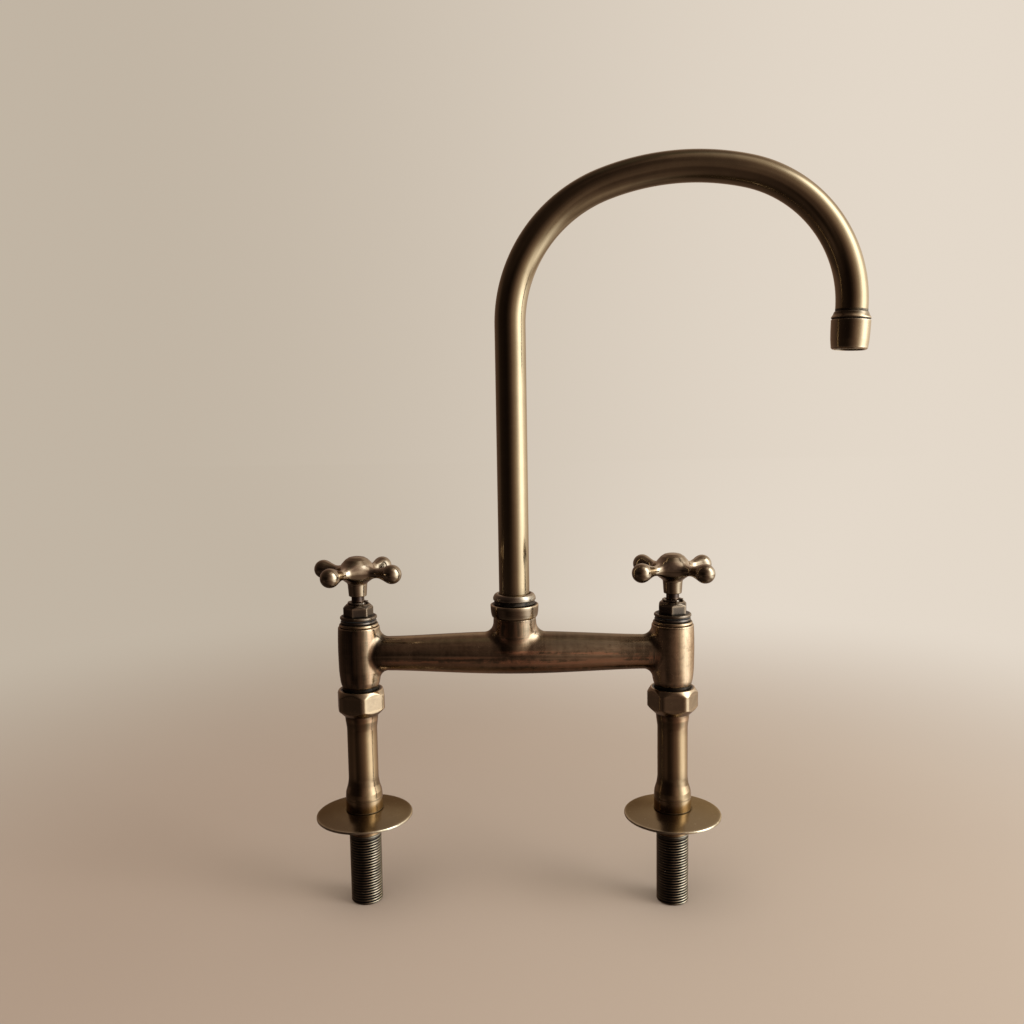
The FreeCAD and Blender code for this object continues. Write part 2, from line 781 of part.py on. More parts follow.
    # Cross handle: turned hub and skirt, four arms that end in balls, a blind
    # socket for the spindle and a screw hole through the skirt.
    handle = new_body(side + "_handle", (axis_x, "0", "handle_low"), turn)
    turned(handle, side + "_handle_hub", [
        ("0", "socket_top"),
        ("socket_r", "socket_top"),
        ("socket_r", "0"),
        ("skirt_r", "0"),
        ("skirt_mid_r", "skirt_mid"),
        ("belly_r", "belly", "7.0", 1),
        ("hub_side_r", "hub_side", "5.0", -1),
        ("hub_shoulder_r", "hub_shoulder", "40.0", -1),
        ("crown_r", "crown", "2.8", -1),
        ("crown_top_r", "handle_height"),
        ("0", "handle_height")])
    arm = turned(handle, side + "_handle_arm", [
        ("5.0", "arm_z"),
        ("5.0", "arm_z + arm_root_r"),
        ("arm_root_x", "arm_z + arm_root_r", "arm_root_curve_r", -1),
        ("arm_neck", "arm_z + arm_neck_r", "arm_curve_r", -1),
        ("arm_ball_x", "arm_z + arm_ball_r", "ball_r", 1),
        ("arm_reach", "arm_z + ball_r", "ball_r", 1),
        ("arm_reach + ball_r", "arm_z")], axis="arm_z", swing="arm_swing_deg")
    cross = handle.newObject("PartDesign::PolarPattern", side + "_handle_cross")
    cross.Originals = [arm]
    cross.Axis = (plane_of(handle, "Z_Axis"), [""])
    cross.Angle = 360.0
    cross.Occurrences = 4
    handle.Tip = cross
    turned(handle, side + "_handle_socket", [
        ("0", "0"), ("socket_r", "0"), ("socket_r", "socket_top"), ("0", "socket_top")], cut=True)
    sk = new_sketch(handle, side + "_handle_screw_hole_outline", "XZ_Plane")
    g = sk.addGeometry(Part.Circle(V(0, worth("screw_z"), 0), V(0, 0, 1),
                                   worth("screw_hole_r")), False)
    constrain(sk, [(Sketcher.Constraint("PointOnObject", g, 3, -2), None),
                   (Sketcher.Constraint("DistanceY", -1, 1, g, 3, worth("screw_z")), "screw_z"),
                   (Sketcher.Constraint("Radius", g, worth("screw_hole_r")), "screw_hole_r")])
    prism_of(handle, side + "_handle_screw_hole", sk, "skirt_r * 2", cut=True)

    # Grub screw with a round key socket, along the handle's own +Y.
    screw = new_body(side + "_handle_screw", (axis_x, "0", "handle_low"), turn)
    sk = new_sketch(screw, side + "_screw_outline", "YZ_Plane")
    level_axis(sk, "screw_z")
    outline(sk, [
        ("screw_start", "screw_z"),
        ("screw_start", "screw_z + screw_r - 0.5"),
        ("screw_start + 0.5", "screw_z + screw_r"),
        ("screw_end", "screw_z + screw_r"),
        ("screw_end", "screw_z + screw_key_r"),
        ("screw_key", "screw_z + screw_key_r"),
        ("screw_key", "screw_z")])
    rod = screw.newObject("PartDesign::Revolution", side + "_screw_turning")
    rod.Profile = sk
    rod.ReferenceAxis = (sk, ["Axis0"])
    rod.Angle = 360.0
    sk.Visibility = False

# ------------------------------------------------------------- bridge casting
# One casting: two barrel-shaped valve bodies with spigots below, a bridge tube
# that swells towards the middle, and a hub with a screwed stub for the spout.
bridge = new_body("bridge_body")
turned(bridge, "bridge_beam", [
    ("0", "bridge_z"),
    ("beam_reach", "bridge_z"),
    ("beam_reach", "bridge_z + beam_end_r", "beam_side_r", -1),
    ("0", "bridge_z + beam_mid_r")], axis="bridge_z")
turned(bridge, "bridge_valve", [
    ("valve_x", "valve_low"),
    ("valve_x + spigot_r - 0.6", "valve_low"),
    ("valve_x + spigot_r", "valve_low + 0.6"),
    ("valve_x + spigot_r", "valve_low + spigot_height"),
    ("valve_x + valve_foot_r", "valve_low + spigot_height + 0.3", "30.0", -1),
    ("valve_x + valve_mid_r", "valve_low + valve_mid", "valve_side_r", -1),
    ("valve_x + valve_rim_r", "valve_low + valve_height - 0.4"),
    ("valve_x + valve_rim_r - 0.4", "valve_low + valve_height"),
    ("valve_x", "valve_low + valve_height")], reach="valve_x")
half = [doc.getObject("bridge_beam"), doc.getObject("bridge_valve")]
pair = bridge.newObject("PartDesign::Mirrored", "bridge_both_sides")
pair.Originals = half
pair.MirrorPlane = (plane_of(bridge, "YZ_Plane"), [""])
bridge.Tip = pair
turned(bridge, "bridge_hub", [
    ("0", "bridge_z"),
    ("hub_low_r", "bridge_z"),
    ("hub_waist_r", "bridge_z + hub_waist"),
    ("hub_r", "hub_top"),
    ("hub_stub_r", "hub_top"),
    ("hub_stub_r", "hub_stub_top - 0.5"),
    ("hub_stub_r - 0.5", "hub_stub_top"),
    ("0", "hub_stub_top")])
doc.recompute()


def round_over(body, name, radius, wanted):
    """fillet the edges that the test picks; the casting stays sharp there if
    the fillet can't be made"""
    base = body.Tip
    names = []
    for k, edge in enumerate(base.Shape.Edges):
        box = edge.BoundBox
        if wanted(edge, box):
            names.append("Edge%d" % (k + 1))
    feature = body.newObject("PartDesign::Fillet", name)
    feature.Base = (base, names)
    feature.Radius = worth(radius)
    feature.setExpression("Radius", bound(radius))
    doc.recompute()
    good = (not feature.Shape.isNull()) and feature.Shape.isValid() and \
        "Invalid" not in feature.State and len(names) > 0
    if not good:
        body.removeObject(feature)
        doc.removeObject(feature.Name)
        body.Tip = base
        doc.recompute()
    print("fillet", name, names, "made" if good else "left sharp")


def at_valves(edge, box):
    mid = 0.5 * (box.XMin + box.XMax)
    return 85 < abs(mid) < 94 and edge.Length > 40 and box.ZMax < 122 and box.XMax - box.XMin < 12


def at_hub(edge, box):
    mid = 0.5 * (box.XMin + box.XMax)
    return (abs(mid) < 16 and box.ZMin > 110.5 and box.ZMax < 124 and edge.Length > 3
            and type(edge.Curve).__name__ == "BSplineCurve")


round_over(bridge, "bridge_valve_fillet", "valve_fillet", at_valves)
round_over(bridge, "bridge_hub_fillet", "hub_fillet", at_hub)

volume = bridge.Shape.Volume
bore = turned(bridge, "bridge_waterway", [
    ("0", "bridge_z"), ("valve_x", "bridge_z"),
    ("valve_x", "bridge_z + beam_bore_r"), ("0", "bridge_z + beam_bore_r")],
    cut=True, axis="bridge_z")
pocket = turned(bridge, "bridge_pocket", [
    ("valve_x", "valve_low"),
    ("valve_x + inlet_r", "valve_low"),
    ("valve_x + inlet_r", "valve_low + pocket_low"),
    ("valve_x + pocket_r", "valve_low + pocket_low"),
    ("valve_x + pocket_r", "valve_low + valve_height"),
    ("valve_x", "valve_low + valve_height")], cut=True, reach="valve_x")
cuts = bridge.newObject("PartDesign::Mirrored", "bridge_both_cuts")
cuts.Originals = [bore, pocket]
cuts.MirrorPlane = (plane_of(bridge, "YZ_Plane"), [""])
bridge.Tip = cuts
turned(bridge, "bridge_hub_bore", [
    ("0", "bridge_z"),
    ("hub_feed_r", "bridge_z"),
    ("hub_feed_r", "hub_bore_floor"),
    ("hub_bore_r", "hub_bore_floor"),
    ("hub_bore_r", "hub_stub_top"),
    ("0", "hub_stub_top")], cut=True)
doc.recompute()
lessen(bridge, volume, bridge.Shape.Volume)

# Collar nut: cup-shaped, screwed on the hub's stub, holds the split ring down.
collar = new_body("hub_collar", ("0", "0", "collar_low"))
turned(collar, "collar_turning", [
    ("collar_bore_r", "0"),
    ("collar_foot_r", "0"),
    ("collar_foot_r + 0.7", "0.9", "7.0", -1),
    ("collar_r - 0.1", "4.2", "60.0", -1),
    ("collar_r", "collar_height - 0.4", "0.4", -1),
    ("collar_r - 0.4", "collar_height"),
    ("collar_lip_r", "collar_height"),
    ("collar_lip_r", "collar_height - collar_lip"),
    ("collar_bore_r", "collar_height - collar_lip")])

# Split ring that rests on the stub and catches the ferrule's groove.
split = new_body("spout_split_ring", ("0", "0", "hub_stub_top"))
turned(split, "split_ring_band", [
    ("ring_bore_r", "0"), ("ring_r", "0"),
    ("ring_r", "ring_height"), ("ring_bore_r", "ring_height")], span="345")

# --------------------------------------------------------------------- spout
# Ferrule: shank that turns in the hub, with two O-ring grooves and the catch
# groove, and a rounded cap above the collar nut.
ferrule = new_body("spout_ferrule", ("0", "0", "ferrule_low"))
turned(ferrule, "ferrule_turning", [
    ("ferrule_bore_r", "0"),
    ("shank_r - 0.5", "0"),
    ("shank_r", "0.5"),
    ("shank_r", "seal_one"),
    ("seal_groove_r", "seal_one"),
    ("seal_groove_r", "seal_one + seal_groove"),
    ("shank_r", "seal_one + seal_groove"),
    ("shank_r", "seal_two"),
    ("seal_groove_r", "seal_two"),
    ("seal_groove_r", "seal_two + seal_groove"),
    ("shank_r", "seal_two + seal_groove"),
    ("shank_r", "catch_low"),
    ("catch_groove_r", "catch_low"),
    ("catch_groove_r", "catch_low + catch_groove"),
    ("shank_r", "catch_low + catch_groove"),
    ("shank_r", "cap_low"),
    ("cap_r", "cap_low"),
    ("cap_r", "cap_low + cap_wall", "cap_round", -1),
    ("cap_top_r", "cap_low + cap_height"),
    ("ferrule_socket_r", "cap_low + cap_height"),
    ("ferrule_socket_r", "ferrule_socket"),
    ("ferrule_bore_r", "ferrule_socket")])
o_ring("spout_lower_seal", "seal_ring_r", "seal_cord_r",
       ("0", "0", "ferrule_low + seal_one + 0.5 * seal_groove"))
o_ring("spout_upper_seal", "seal_ring_r", "seal_cord_r",
       ("0", "0", "ferrule_low + seal_two + 0.5 * seal_groove"))

# Gooseneck: one bent tube, a straight riser and three bends that run into
# each other.
tube = new_body("spout_tube", ("0", "0", "tube_foot"))
path = new_sketch(tube, "tube_path")
x, y, heading = 0.0, worth("rise_top - tube_foot"), math.pi / 2
geo = [path.addGeometry(Part.LineSegment(V(0, 0, 0), V(0, y, 0)), False)]
bends = (("bend_one_r", "bend_one_deg"), ("bend_two_r", "bend_two_deg"),
         ("bend_three_r", "bend_three_deg"))
for radius, angle in bends:
    rad, span = worth(radius), math.radians(worth(angle))
    cx, cy = x + rad * math.sin(heading), y - rad * math.cos(heading)
    a0 = math.atan2(y - cy, x - cx)
    a1 = a0 - span
    geo.append(path.addGeometry(Part.ArcOfCircle(
        Part.Circle(V(cx, cy, 0), V(0, 0, 1), rad), a1, a0), False))
    x, y, heading = cx + rad * math.cos(a1), cy + rad * math.sin(a1), heading - span
cell("outlet_x", x)
cell("outlet_z", y + worth("tube_foot"))
cell("outlet_lean_deg", -90.0 - math.degrees(heading) if heading < 0 else 0.0)
ex, ey = math.cos(heading), math.sin(heading)
end = worth("tube_end")
geo.append(path.addGeometry(Part.LineSegment(V(x, y, 0), V(x + end * ex, y + end * ey, 0)), False))
todo = [(Sketcher.Constraint("Coincident", geo[0], 1, -1, 1), None),
        (Sketcher.Constraint("Vertical", geo[0]), None),
        (Sketcher.Constraint("Tangent", geo[0], 2, geo[1], 2), None),
        (Sketcher.Constraint("Tangent", geo[1], 1, geo[2], 2), None),
        (Sketcher.Constraint("Tangent", geo[2], 1, geo[3], 2), None),
        (Sketcher.Constraint("Tangent", geo[3], 1, geo[4], 1), None),
        (Sketcher.Constraint("Distance", geo[0], worth("rise_top - tube_foot")),
         "rise_top - tube_foot"),
        (Sketcher.Constraint("Distance", geo[4], end), "tube_end")]
for g, (radius, angle) in zip(geo[1:4], bends):
    todo.append((Sketcher.Constraint("Radius", g, worth(radius)), radius))
    todo.append((Sketcher.Constraint("Angle", g, math.radians(worth(angle))), angle))
constrain(path, todo)
section = new_sketch(tube, "tube_section", "XY_Plane")
for radius in ("tube_r", "tube_bore_r"):
    g = section.addGeometry(Part.Circle(V(0, 0, 0), V(0, 0, 1), worth(radius)), False)
    constrain(section, [(Sketcher.Constraint("Coincident", g, 3, -1, 1), None),
                        (Sketcher.Constraint("Radius", g, worth(radius)), radius)])
pipe = tube.newObject("PartDesign::AdditivePipe", "tube_pipe")
pipe.Profile = section
pipe.Spine = (path, [])
path.Visibility = False
section.Visibility = False

# Pieces on the outlet's axis. Their bases lie along it, below the end of the
# last bend.
lean = math.radians(worth("outlet_lean_deg"))
for name, drop in (("collar_foot", "outlet_top + outlet_collar_h"),
                   ("housing_foot", "outlet_top + outlet_collar_h - outlet_stub_h + housing_h"),
                   ("insert_foot", "outlet_top + outlet_collar_h - outlet_stub_h + housing_h - housing_lip"),
                   ("gasket_foot", "outlet_top + outlet_collar_h + gasket_h")):
    cell(name + "_x", DIM["outlet_x"] - worth(drop) * math.sin(lean))
    cell(name + "_z", DIM["outlet_z"] - worth(drop) * math.cos(lean))

outlet = new_body("outlet_collar", ("collar_foot_x", "0", "collar_foot_z"),
                  "outlet_lean_deg", (0, 1, 0))
turned(outlet, "outlet_collar_turning", [
    ("tube_bore_r", "0"),
    ("outlet_stub_r - 0.5", "0"),
    ("outlet_stub_r", "0.5"),
    ("outlet_stub_r", "outlet_stub_h"),
    ("outlet_r - 0.2", "outlet_stub_h"),
    ("outlet_r", "outlet_stub_h + 0.25"),
    ("outlet_r - 0.15", "outlet_stub_h + 1.1", "outlet_flare_r", 1),
    ("outlet_top_r", "outlet_collar_h"),
    ("ferrule_socket_r", "outlet_collar_h"),
    ("ferrule_socket_r", "outlet_socket"),
    ("tube_bore_r", "outlet_socket")])
housing = new_body("aerator_housing", ("housing_foot_x", "0", "housing_foot_z"),
                   "outlet_lean_deg", (0, 1, 0))
turned(housing, "housing_turning", [
    ("housing_lip_r", "0"),
    ("housing_low_r - 0.9", "0", "1.1", -1),
    ("housing_low_r + 0.35", "1.0"),
    ("housing_mid_r", "housing_mid", "housing_wall_r", -1),
    ("outlet_r", "housing_h - 0.25"),
    ("outlet_r - 0.2", "housing_h"),
    ("housing_bore_r", "housing_h"),
    ("housing_bore_r", "housing_lip"),
    ("housing_lip_r", "housing_lip")])
# Flow straightener: plastic cup with a web of small holes.
insert = new_body("aerator_insert", ("insert_foot_x", "0", "insert_foot_z"),
                  "outlet_lean_deg", (0, 1, 0))
turned(insert, "insert_turning", [
    ("0", "0"),
    ("insert_r", "0"),
    ("insert_r", "insert_rim"),
    ("insert_body_r", "insert_rim"),
    ("insert_body_r", "insert_h - insert_rim"),
    ("insert_r", "insert_h - insert_rim"),
    ("insert_r", "insert_h"),
    ("insert_body_r - 1", "insert_h"),
    ("insert_body_r - 1", "insert_web"),
    ("0", "insert_web")])
sk = new_sketch(insert, "insert_holes_outline", "XY_Plane")
pitch = worth("insert_pitch")
todo = []
for row_y in range(-2, 3):
    for col in range(-2, 3):
        hx, hy = col * pitch, row_y * pitch
        if math.hypot(hx, hy) > worth("insert_body_r") - 1.9:
            continue
        g = sk.addGeometry(Part.Circle(V(hx, hy, 0), V(0, 0, 1), worth("insert_hole_r")), False)
        fix_point(todo, g, 3, "%d * insert_pitch" % col if col >= 0 else "-%d * insert_pitch" % -col,
                  "%d * insert_pitch" % row_y if row_y >= 0 else "-%d * insert_pitch" % -row_y)
        todo.append((Sketcher.Constraint("Radius", g, worth("insert_hole_r")), "insert_hole_r"))
constrain(sk, todo)
prism_of(insert, "insert_holes", sk, "insert_h * 3", cut=True, both=True)
gasket = new_body("aerator_gasket", ("gasket_foot_x", "0", "gasket_foot_z"),
                  "outlet_lean_deg", (0, 1, 0))
turned(gasket, "gasket_ring", [
    ("gasket_bore_r", "0"), ("gasket_r", "0"),
    ("gasket_r", "gasket_h"), ("gasket_bore_r", "gasket_h")])

# -------------------------------------------------------------------- checks
doc.recompute()
for obj in doc.Objects:
    if "Invalid" in obj.State or "Error" in obj.State:
        raise RuntimeError("%s failed: %s" % (obj.Name, obj.State))
    if obj.isDerivedFrom("Sketcher::SketchObject") and obj.solve() != 0:
        raise RuntimeError("%s has no solution" % obj.Name)
for obj in PIECES:
    shape = obj.Shape
    if shape.isNull() or not shape.isValid() or len(shape.Solids) < 1:
        raise RuntimeError("%s has no valid solid" % obj.Label)

# Every bored or cut blank is lighter than its outer form.
for side in ("left", "right"):
    for label, blank in (("_union_nut", "_nut_turning"), ("_cartridge", "_cartridge_turning"),
                         ("_fixed_disc", "_fixed_blank"), ("_moving_disc", "_moving_blank"),
                         ("_tail", "_tail_blank"), ("_handle", "_handle_cross")):
        lessen(doc.getObject(side + label), doc.getObject(side + blank).Shape.Volume,
               doc.getObject(side + label).Shape.Volume)
lessen(insert, doc.getObject("insert_turning").Shape.Volume, insert.Shape.Volume)

# The tube's volume is its section times its length.
length = (worth("rise_top - tube_foot + tube_end")
          + sum(worth(r) * math.radians(worth(a)) for r, a in bends))
expect = math.pi * (worth("tube_r") ** 2 - worth("tube_bore_r") ** 2) * length
if abs(tube.Shape.Volume - expect) > 0.01 * expect:
    raise RuntimeError("the tube's volume is off: %g, not %g" % (tube.Shape.Volume, expect))

# --------------------------------------------------------------------- files
os.makedirs("parts", exist_ok=True)
for obj in PIECES:
    box = obj.Shape.BoundBox
    print("%-22s %9.1f mm3  x %8.2f %8.2f  y %7.2f %7.2f  z %7.2f %7.2f  solids %d" % (
        obj.Label, obj.Shape.Volume, box.XMin, box.XMax, box.YMin, box.YMax,
        box.ZMin, box.ZMax, len(obj.Shape.Solids)))
    obj.Shape.exportStep(os.path.join("parts", obj.Label + ".step"))
print(len(PIECES), "pieces")
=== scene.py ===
import json
import math

import bpy
import bmesh
import numpy as np
from mathutils import Matrix, Vector


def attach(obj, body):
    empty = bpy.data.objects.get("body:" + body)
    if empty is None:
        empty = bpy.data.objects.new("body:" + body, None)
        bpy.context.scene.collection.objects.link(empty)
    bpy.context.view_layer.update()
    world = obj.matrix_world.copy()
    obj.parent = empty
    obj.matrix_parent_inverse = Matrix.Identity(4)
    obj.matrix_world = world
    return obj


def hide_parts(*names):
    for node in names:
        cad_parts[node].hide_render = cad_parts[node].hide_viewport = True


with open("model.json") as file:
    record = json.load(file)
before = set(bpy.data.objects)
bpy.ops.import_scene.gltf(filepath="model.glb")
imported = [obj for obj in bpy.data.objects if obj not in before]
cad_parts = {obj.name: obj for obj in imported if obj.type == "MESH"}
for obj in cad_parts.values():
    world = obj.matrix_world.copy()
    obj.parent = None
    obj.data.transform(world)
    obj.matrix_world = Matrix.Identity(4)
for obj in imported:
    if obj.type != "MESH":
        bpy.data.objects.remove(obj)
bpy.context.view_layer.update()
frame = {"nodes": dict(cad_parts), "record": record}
nodes = frame["nodes"]
MM = 0.001
VX = 101.6
scene = bpy.context.scene
rng = np.random.default_rng(7)


# --------------------------------------------------------------------------
# mesh helpers; every length below is in millimetres
# --------------------------------------------------------------------------
def make_object(name, verts, faces, attrs, mat, body, replaces=(), smooth=True):
    """mesh object from arrays in mm; attrs are per-vertex floats or vectors"""
    me = bpy.data.meshes.new(name)
    me.from_pydata((np.asarray(verts) * MM).tolist(), [], [tuple(int(i) for i in f) for f in faces])
    for key, values in attrs.items():
        values = np.asarray(values, np.float32)
        if values.ndim == 1:
            a = me.attributes.new(key, "FLOAT", "POINT")
            a.data.foreach_set("value", values)
        else:
            a = me.attributes.new(key, "FLOAT_VECTOR", "POINT")
            a.data.foreach_set("vector", values.ravel())
    bm = bmesh.new()
    bm.from_mesh(me)
    bmesh.ops.remove_doubles(bm, verts=bm.verts, dist=1e-7)
    bmesh.ops.dissolve_degenerate(bm, edges=bm.edges, dist=1e-8)
    bmesh.ops.recalc_face_normals(bm, faces=bm.faces)
    bm.to_mesh(me)
    bm.free()
    if smooth:
        me.polygons.foreach_set("use_smooth", [True] * len(me.polygons))
    me.materials.append(mat)
    ob = bpy.data.objects.new(name, me)
    scene.collection.objects.link(ob)
    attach(ob, body)
    if replaces:
        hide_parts(*replaces)
    return ob


def round_outline(points, fine=0.35, coarse=2.2):
    """closed outline of (r, z, corner radius) with its corners rounded and its
    runs divided; returns r, z, wear (at outer corners) and grime (at inner)"""
    pts = [np.array(p[:2], float) for p in points]
    rad = [p[2] if len(p) > 2 else 0.25 for p in points]
    gain = [p[3] if len(p) > 3 else 1.0 for p in points]
    n = len(pts)
    area = sum(pts[i][0] * pts[(i + 1) % n][1] - pts[(i + 1) % n][0] * pts[i][1] for i in range(n))
    hand = 1.0 if area > 0 else -1.0
    corners = []
    for i in range(n):
        a, b, c = pts[i - 1], pts[i], pts[(i + 1) % n]
        u, v = b - a, c - b
        lu, lv = np.linalg.norm(u), np.linalg.norm(v)
        u, v = u / lu, v / lv
        cross = u[0] * v[1] - u[1] * v[0]
        turn = math.atan2(cross, float(np.dot(u, v)))
        on_axis = b[0] < 1e-6
        if abs(turn) < 0.02 or on_axis or rad[i] <= 0:
            corners.append(([b], turn * hand, 0.0, gain[i]))
            continue
        t = min(rad[i] * math.tan(abs(turn) / 2), 0.46 * lu, 0.46 * lv)
        r = t / math.tan(abs(turn) / 2)
        p0, p1 = b - u * t, b + v * t
        side = 1.0 if turn > 0 else -1.0
        centre = p0 + side * r * np.array([-u[1], u[0]])
        steps = max(3, int(math.ceil(abs(math.degrees(turn)) / 14.0)), int(r * abs(turn) / 1.2))
        a0 = math.atan2(p0[1] - centre[1], p0[0] - centre[0])
        arc = [centre + r * np.array([math.cos(a0 + turn * k / steps), math.sin(a0 + turn * k / steps)])
               for k in range(steps + 1)]
        corners.append((arc, turn * hand, r, gain[i]))
    out, marks = [], []
    for i in range(n):
        arc, turn, r, g = corners[i]
        first = len(out)
        out.extend(arc)
        marks.append((first, len(out) - 1, turn, r, g))
        p, q = arc[-1], corners[(i + 1) % n][0][0]
        length = float(np.linalg.norm(q - p))
        if length > 2.5 * fine:
            d, spots, step = 0.0, [], fine
            while d + step < length / 2:
                d += step
                spots.append(d)
                step = min(step * 1.5, coarse)
            spots = spots + [length - s for s in reversed(spots)]
            if length - 2 * d > coarse:
                spots.append(length / 2)
            for s in sorted(set(round(x, 5) for x in spots)):
                out.append(p + (q - p) * (s / length))
    out = np.array(out)
    seg = np.linalg.norm(np.roll(out, -1, 0) - out, axis=1)
    s = np.concatenate([[0], np.cumsum(seg)[:-1]])
    total = seg.sum()
    wear_and_highlight, grime_and_gap_shade = np.zeros(len(out)), np.zeros(len(out))
    for first, last, turn, r, g in marks:
        size = min(1.0, abs(turn) / 1.0)
        if size < 0.15:
            continue
        lo, hi = s[first], s[last]
        d = np.maximum(np.maximum(lo - s, s - hi), 0)
        d = np.minimum(d, np.minimum(np.abs(s - lo - total), np.abs(s - hi + total)))
        if turn > 0:
            if r < 3.5:
                wear_and_highlight = np.maximum(wear_and_highlight, g * size * np.exp(-d / (0.35 + 0.2 * r)))
        else:
            grime_and_gap_shade = np.maximum(grime_and_gap_shade, size * np.exp(-d / 0.7))
    return out[:, 0], out[:, 1], wear_and_highlight, grime_and_gap_shade


def spin(r, z, wear_and_highlight, grime_and_gap_shade, seg, shape=None, extra=None):
    """closed outline turned about Z; shape(r, theta, z) may change the radius"""
    th = np.arange(seg) * (2 * math.pi / seg)
    R, TH = np.meshgrid(r, th, indexing="ij")
    Z = np.repeat(z[:, None], seg, 1)
    W = np.repeat(wear_and_highlight[:, None], seg, 1)
    G = np.repeat(grime_and_gap_shade[:, None], seg, 1)
    if shape is not None:
        R, W = shape(R, TH, Z, W)
    verts = np.stack([R * np.cos(TH), R * np.sin(TH), Z], -1).reshape(-1, 3)
    n = len(r)
    i = np.arange(n)[:, None] * seg
    j = np.arange(seg)[None, :]
    i2 = ((np.arange(n) + 1) % n)[:, None] * seg
    j2 = (j + 1) % seg
    quads = np.stack([i + j, i + j2, i2 + j2, i2 + j], -1).reshape(-1, 4)
    keep = ~((verts[quads[:, 0], 0] ** 2 + verts[quads[:, 0], 1] ** 2 < 1e-10)
             & (verts[quads[:, 3], 0] ** 2 + verts[quads[:, 3], 1] ** 2 < 1e-10))
    return verts, quads[keep], W.ravel(), G.ravel()


def lathe(name, outline, at, mat, body, replaces=(), seg=128, shape=None,
          lean=0.0, turn=0.0, fine=0.35, coarse=2.2, shade=None, dirt_and_gap_shade=None, copper=None):
    """turned piece; at is the place of the outline's origin, lean tilts it
    about Y and turn about its own axis, in degrees; shade paints shade, dirt_and_gap_shade
    paints dirt and shade in gaps, and copper paints copper tone, all as functions of (r, z)"""
    r, z, wear_and_highlight, grime_and_gap_shade = round_outline(outline, fine, coarse)
    verts, quads, W, G = spin(r, z, wear_and_highlight, grime_and_gap_shade, seg, shape)
    grain = verts.copy()
    rr = np.sqrt(verts[:, 0] ** 2 + verts[:, 1] ** 2)
    paint = {}
    if dirt_and_gap_shade is not None:
        D = dirt_and_gap_shade(rr, verts[:, 2])
        G, W = np.maximum(G, D), W * (1 - 0.9 * np.clip(D, 0, 1))
    if shade is not None:
        paint["shade"] = shade(rr, verts[:, 2])
    if copper is not None:
        paint["copper"] = copper(rr, verts[:, 2])
    c, s = math.cos(math.radians(turn)), math.sin(math.radians(turn))
    verts = verts @ np.array([[c, -s, 0], [s, c, 0], [0, 0, 1]]).T
    c, s = math.cos(math.radians(lean)), math.sin(math.radians(lean))
    verts = verts @ np.array([[c, 0, s], [0, 1, 0], [-s, 0, c]]).T
    verts = verts + np.array(at)
    return make_object(name, verts, quads, {"wear_and_highlight": W, "grime_and_gap_shade": G, "grain": grain * MM, **paint}, mat, body,
                       replaces)


def bands(*stops):
    """function of (r, z) that reads a value off (z, value) stops"""
    zs, vs = [p[0] for p in stops], [p[1] for p in stops]
    return lambda r, z: np.interp(z, zs, vs)


def hexed(flats, first_corner, z_lo, z_hi, blend=0.35, rub=1.0):
    """shape that trims a turning to a hexagon between two heights"""
    a = flats / 2.0

    def shape(R, TH, Z, W):
        phase = np.mod(TH - math.radians(first_corner), math.pi / 3) - math.pi / 6
        H = a / np.cos(phase)
        inside = (Z > z_lo - 1e-6) & (Z < z_hi + 1e-6) & (R > a * 0.9)
        h = np.clip(0.5 + 0.5 * (H - R) / blend, 0, 1)
        soft = H * (1 - h) + R * h - blend * h * (1 - h)
        edge = np.exp(-np.abs(H - R) / (blend * 0.9)) * (R > a * 0.97) * rub
        corner = np.exp(-np.abs(np.abs(phase) - math.pi / 6) * a / 0.5) * (R > H) * rub
        R2 = np.where(inside, soft, R)
        W2 = np.where(inside, np.maximum(W, np.maximum(0.85 * edge, corner)), W)
        return R2, W2
    return shape


# --------------------------------------------------------------------------
# distance fields for the castings
# --------------------------------------------------------------------------
def poly_sdf(r, z, points):
    """signed distance to a closed polygon in the (r, z) half plane"""
    pts = np.array(points, float)
    d2 = np.full(r.shape, 1e9)
    inside = np.zeros(r.shape, bool)
    n = len(pts)
    for i in range(n):
        a, b = pts[i], pts[(i + 1) % n]
        e = b - a
        wx, wz = r - a[0], z - a[1]
        t = np.clip((wx * e[0] + wz * e[1]) / (e @ e), 0, 1)
        dx, dz = wx - e[0] * t, wz - e[1] * t
        d2 = np.minimum(d2, dx * dx + dz * dz)
        cond = (a[1] > z) != (b[1] > z)
        with np.errstate(divide="ignore", invalid="ignore"):
            xs = a[0] + (z - a[1]) * e[0] / (e[1] if abs(e[1]) > 1e-12 else 1e-12)
        inside ^= cond & (r < xs)
    d = np.sqrt(d2)
    return np.where(inside, -d, d)


def smin(a, b, k):
    h = np.clip(0.5 + 0.5 * (b - a) / k, 0, 1)
    return b * (1 - h) + a * h - k * h * (1 - h)


def round_union(a, b, r):
    u, v = np.maximum(r - a, 0), np.maximum(r - b, 0)
    return np.maximum(r, np.minimum(a, b)) - np.sqrt(u * u + v * v)


def round_cut(a, b, r):
    """a without b, with a rounded edge"""
    b = -b
    u, v = np.maximum(r + a, 0), np.maximum(r + b, 0)
    return np.minimum(-r, np.maximum(a, b)) + np.sqrt(u * u + v * v)


def soften(values, faces, rounds):
    """values averaged with their neighbours along the faces' edges"""
    quads = np.asarray(faces)
    a, b = quads.ravel(), np.roll(quads, -1, axis=1).ravel()
    n = len(values)
    count = np.maximum(np.bincount(a, minlength=n) + np.bincount(b, minlength=n), 1)
    for _ in range(rounds):
        near = np.bincount(a, values[b], n) + np.bincount(b, values[a], n)
        values = 0.4 * values + 0.6 * near / count
    return values


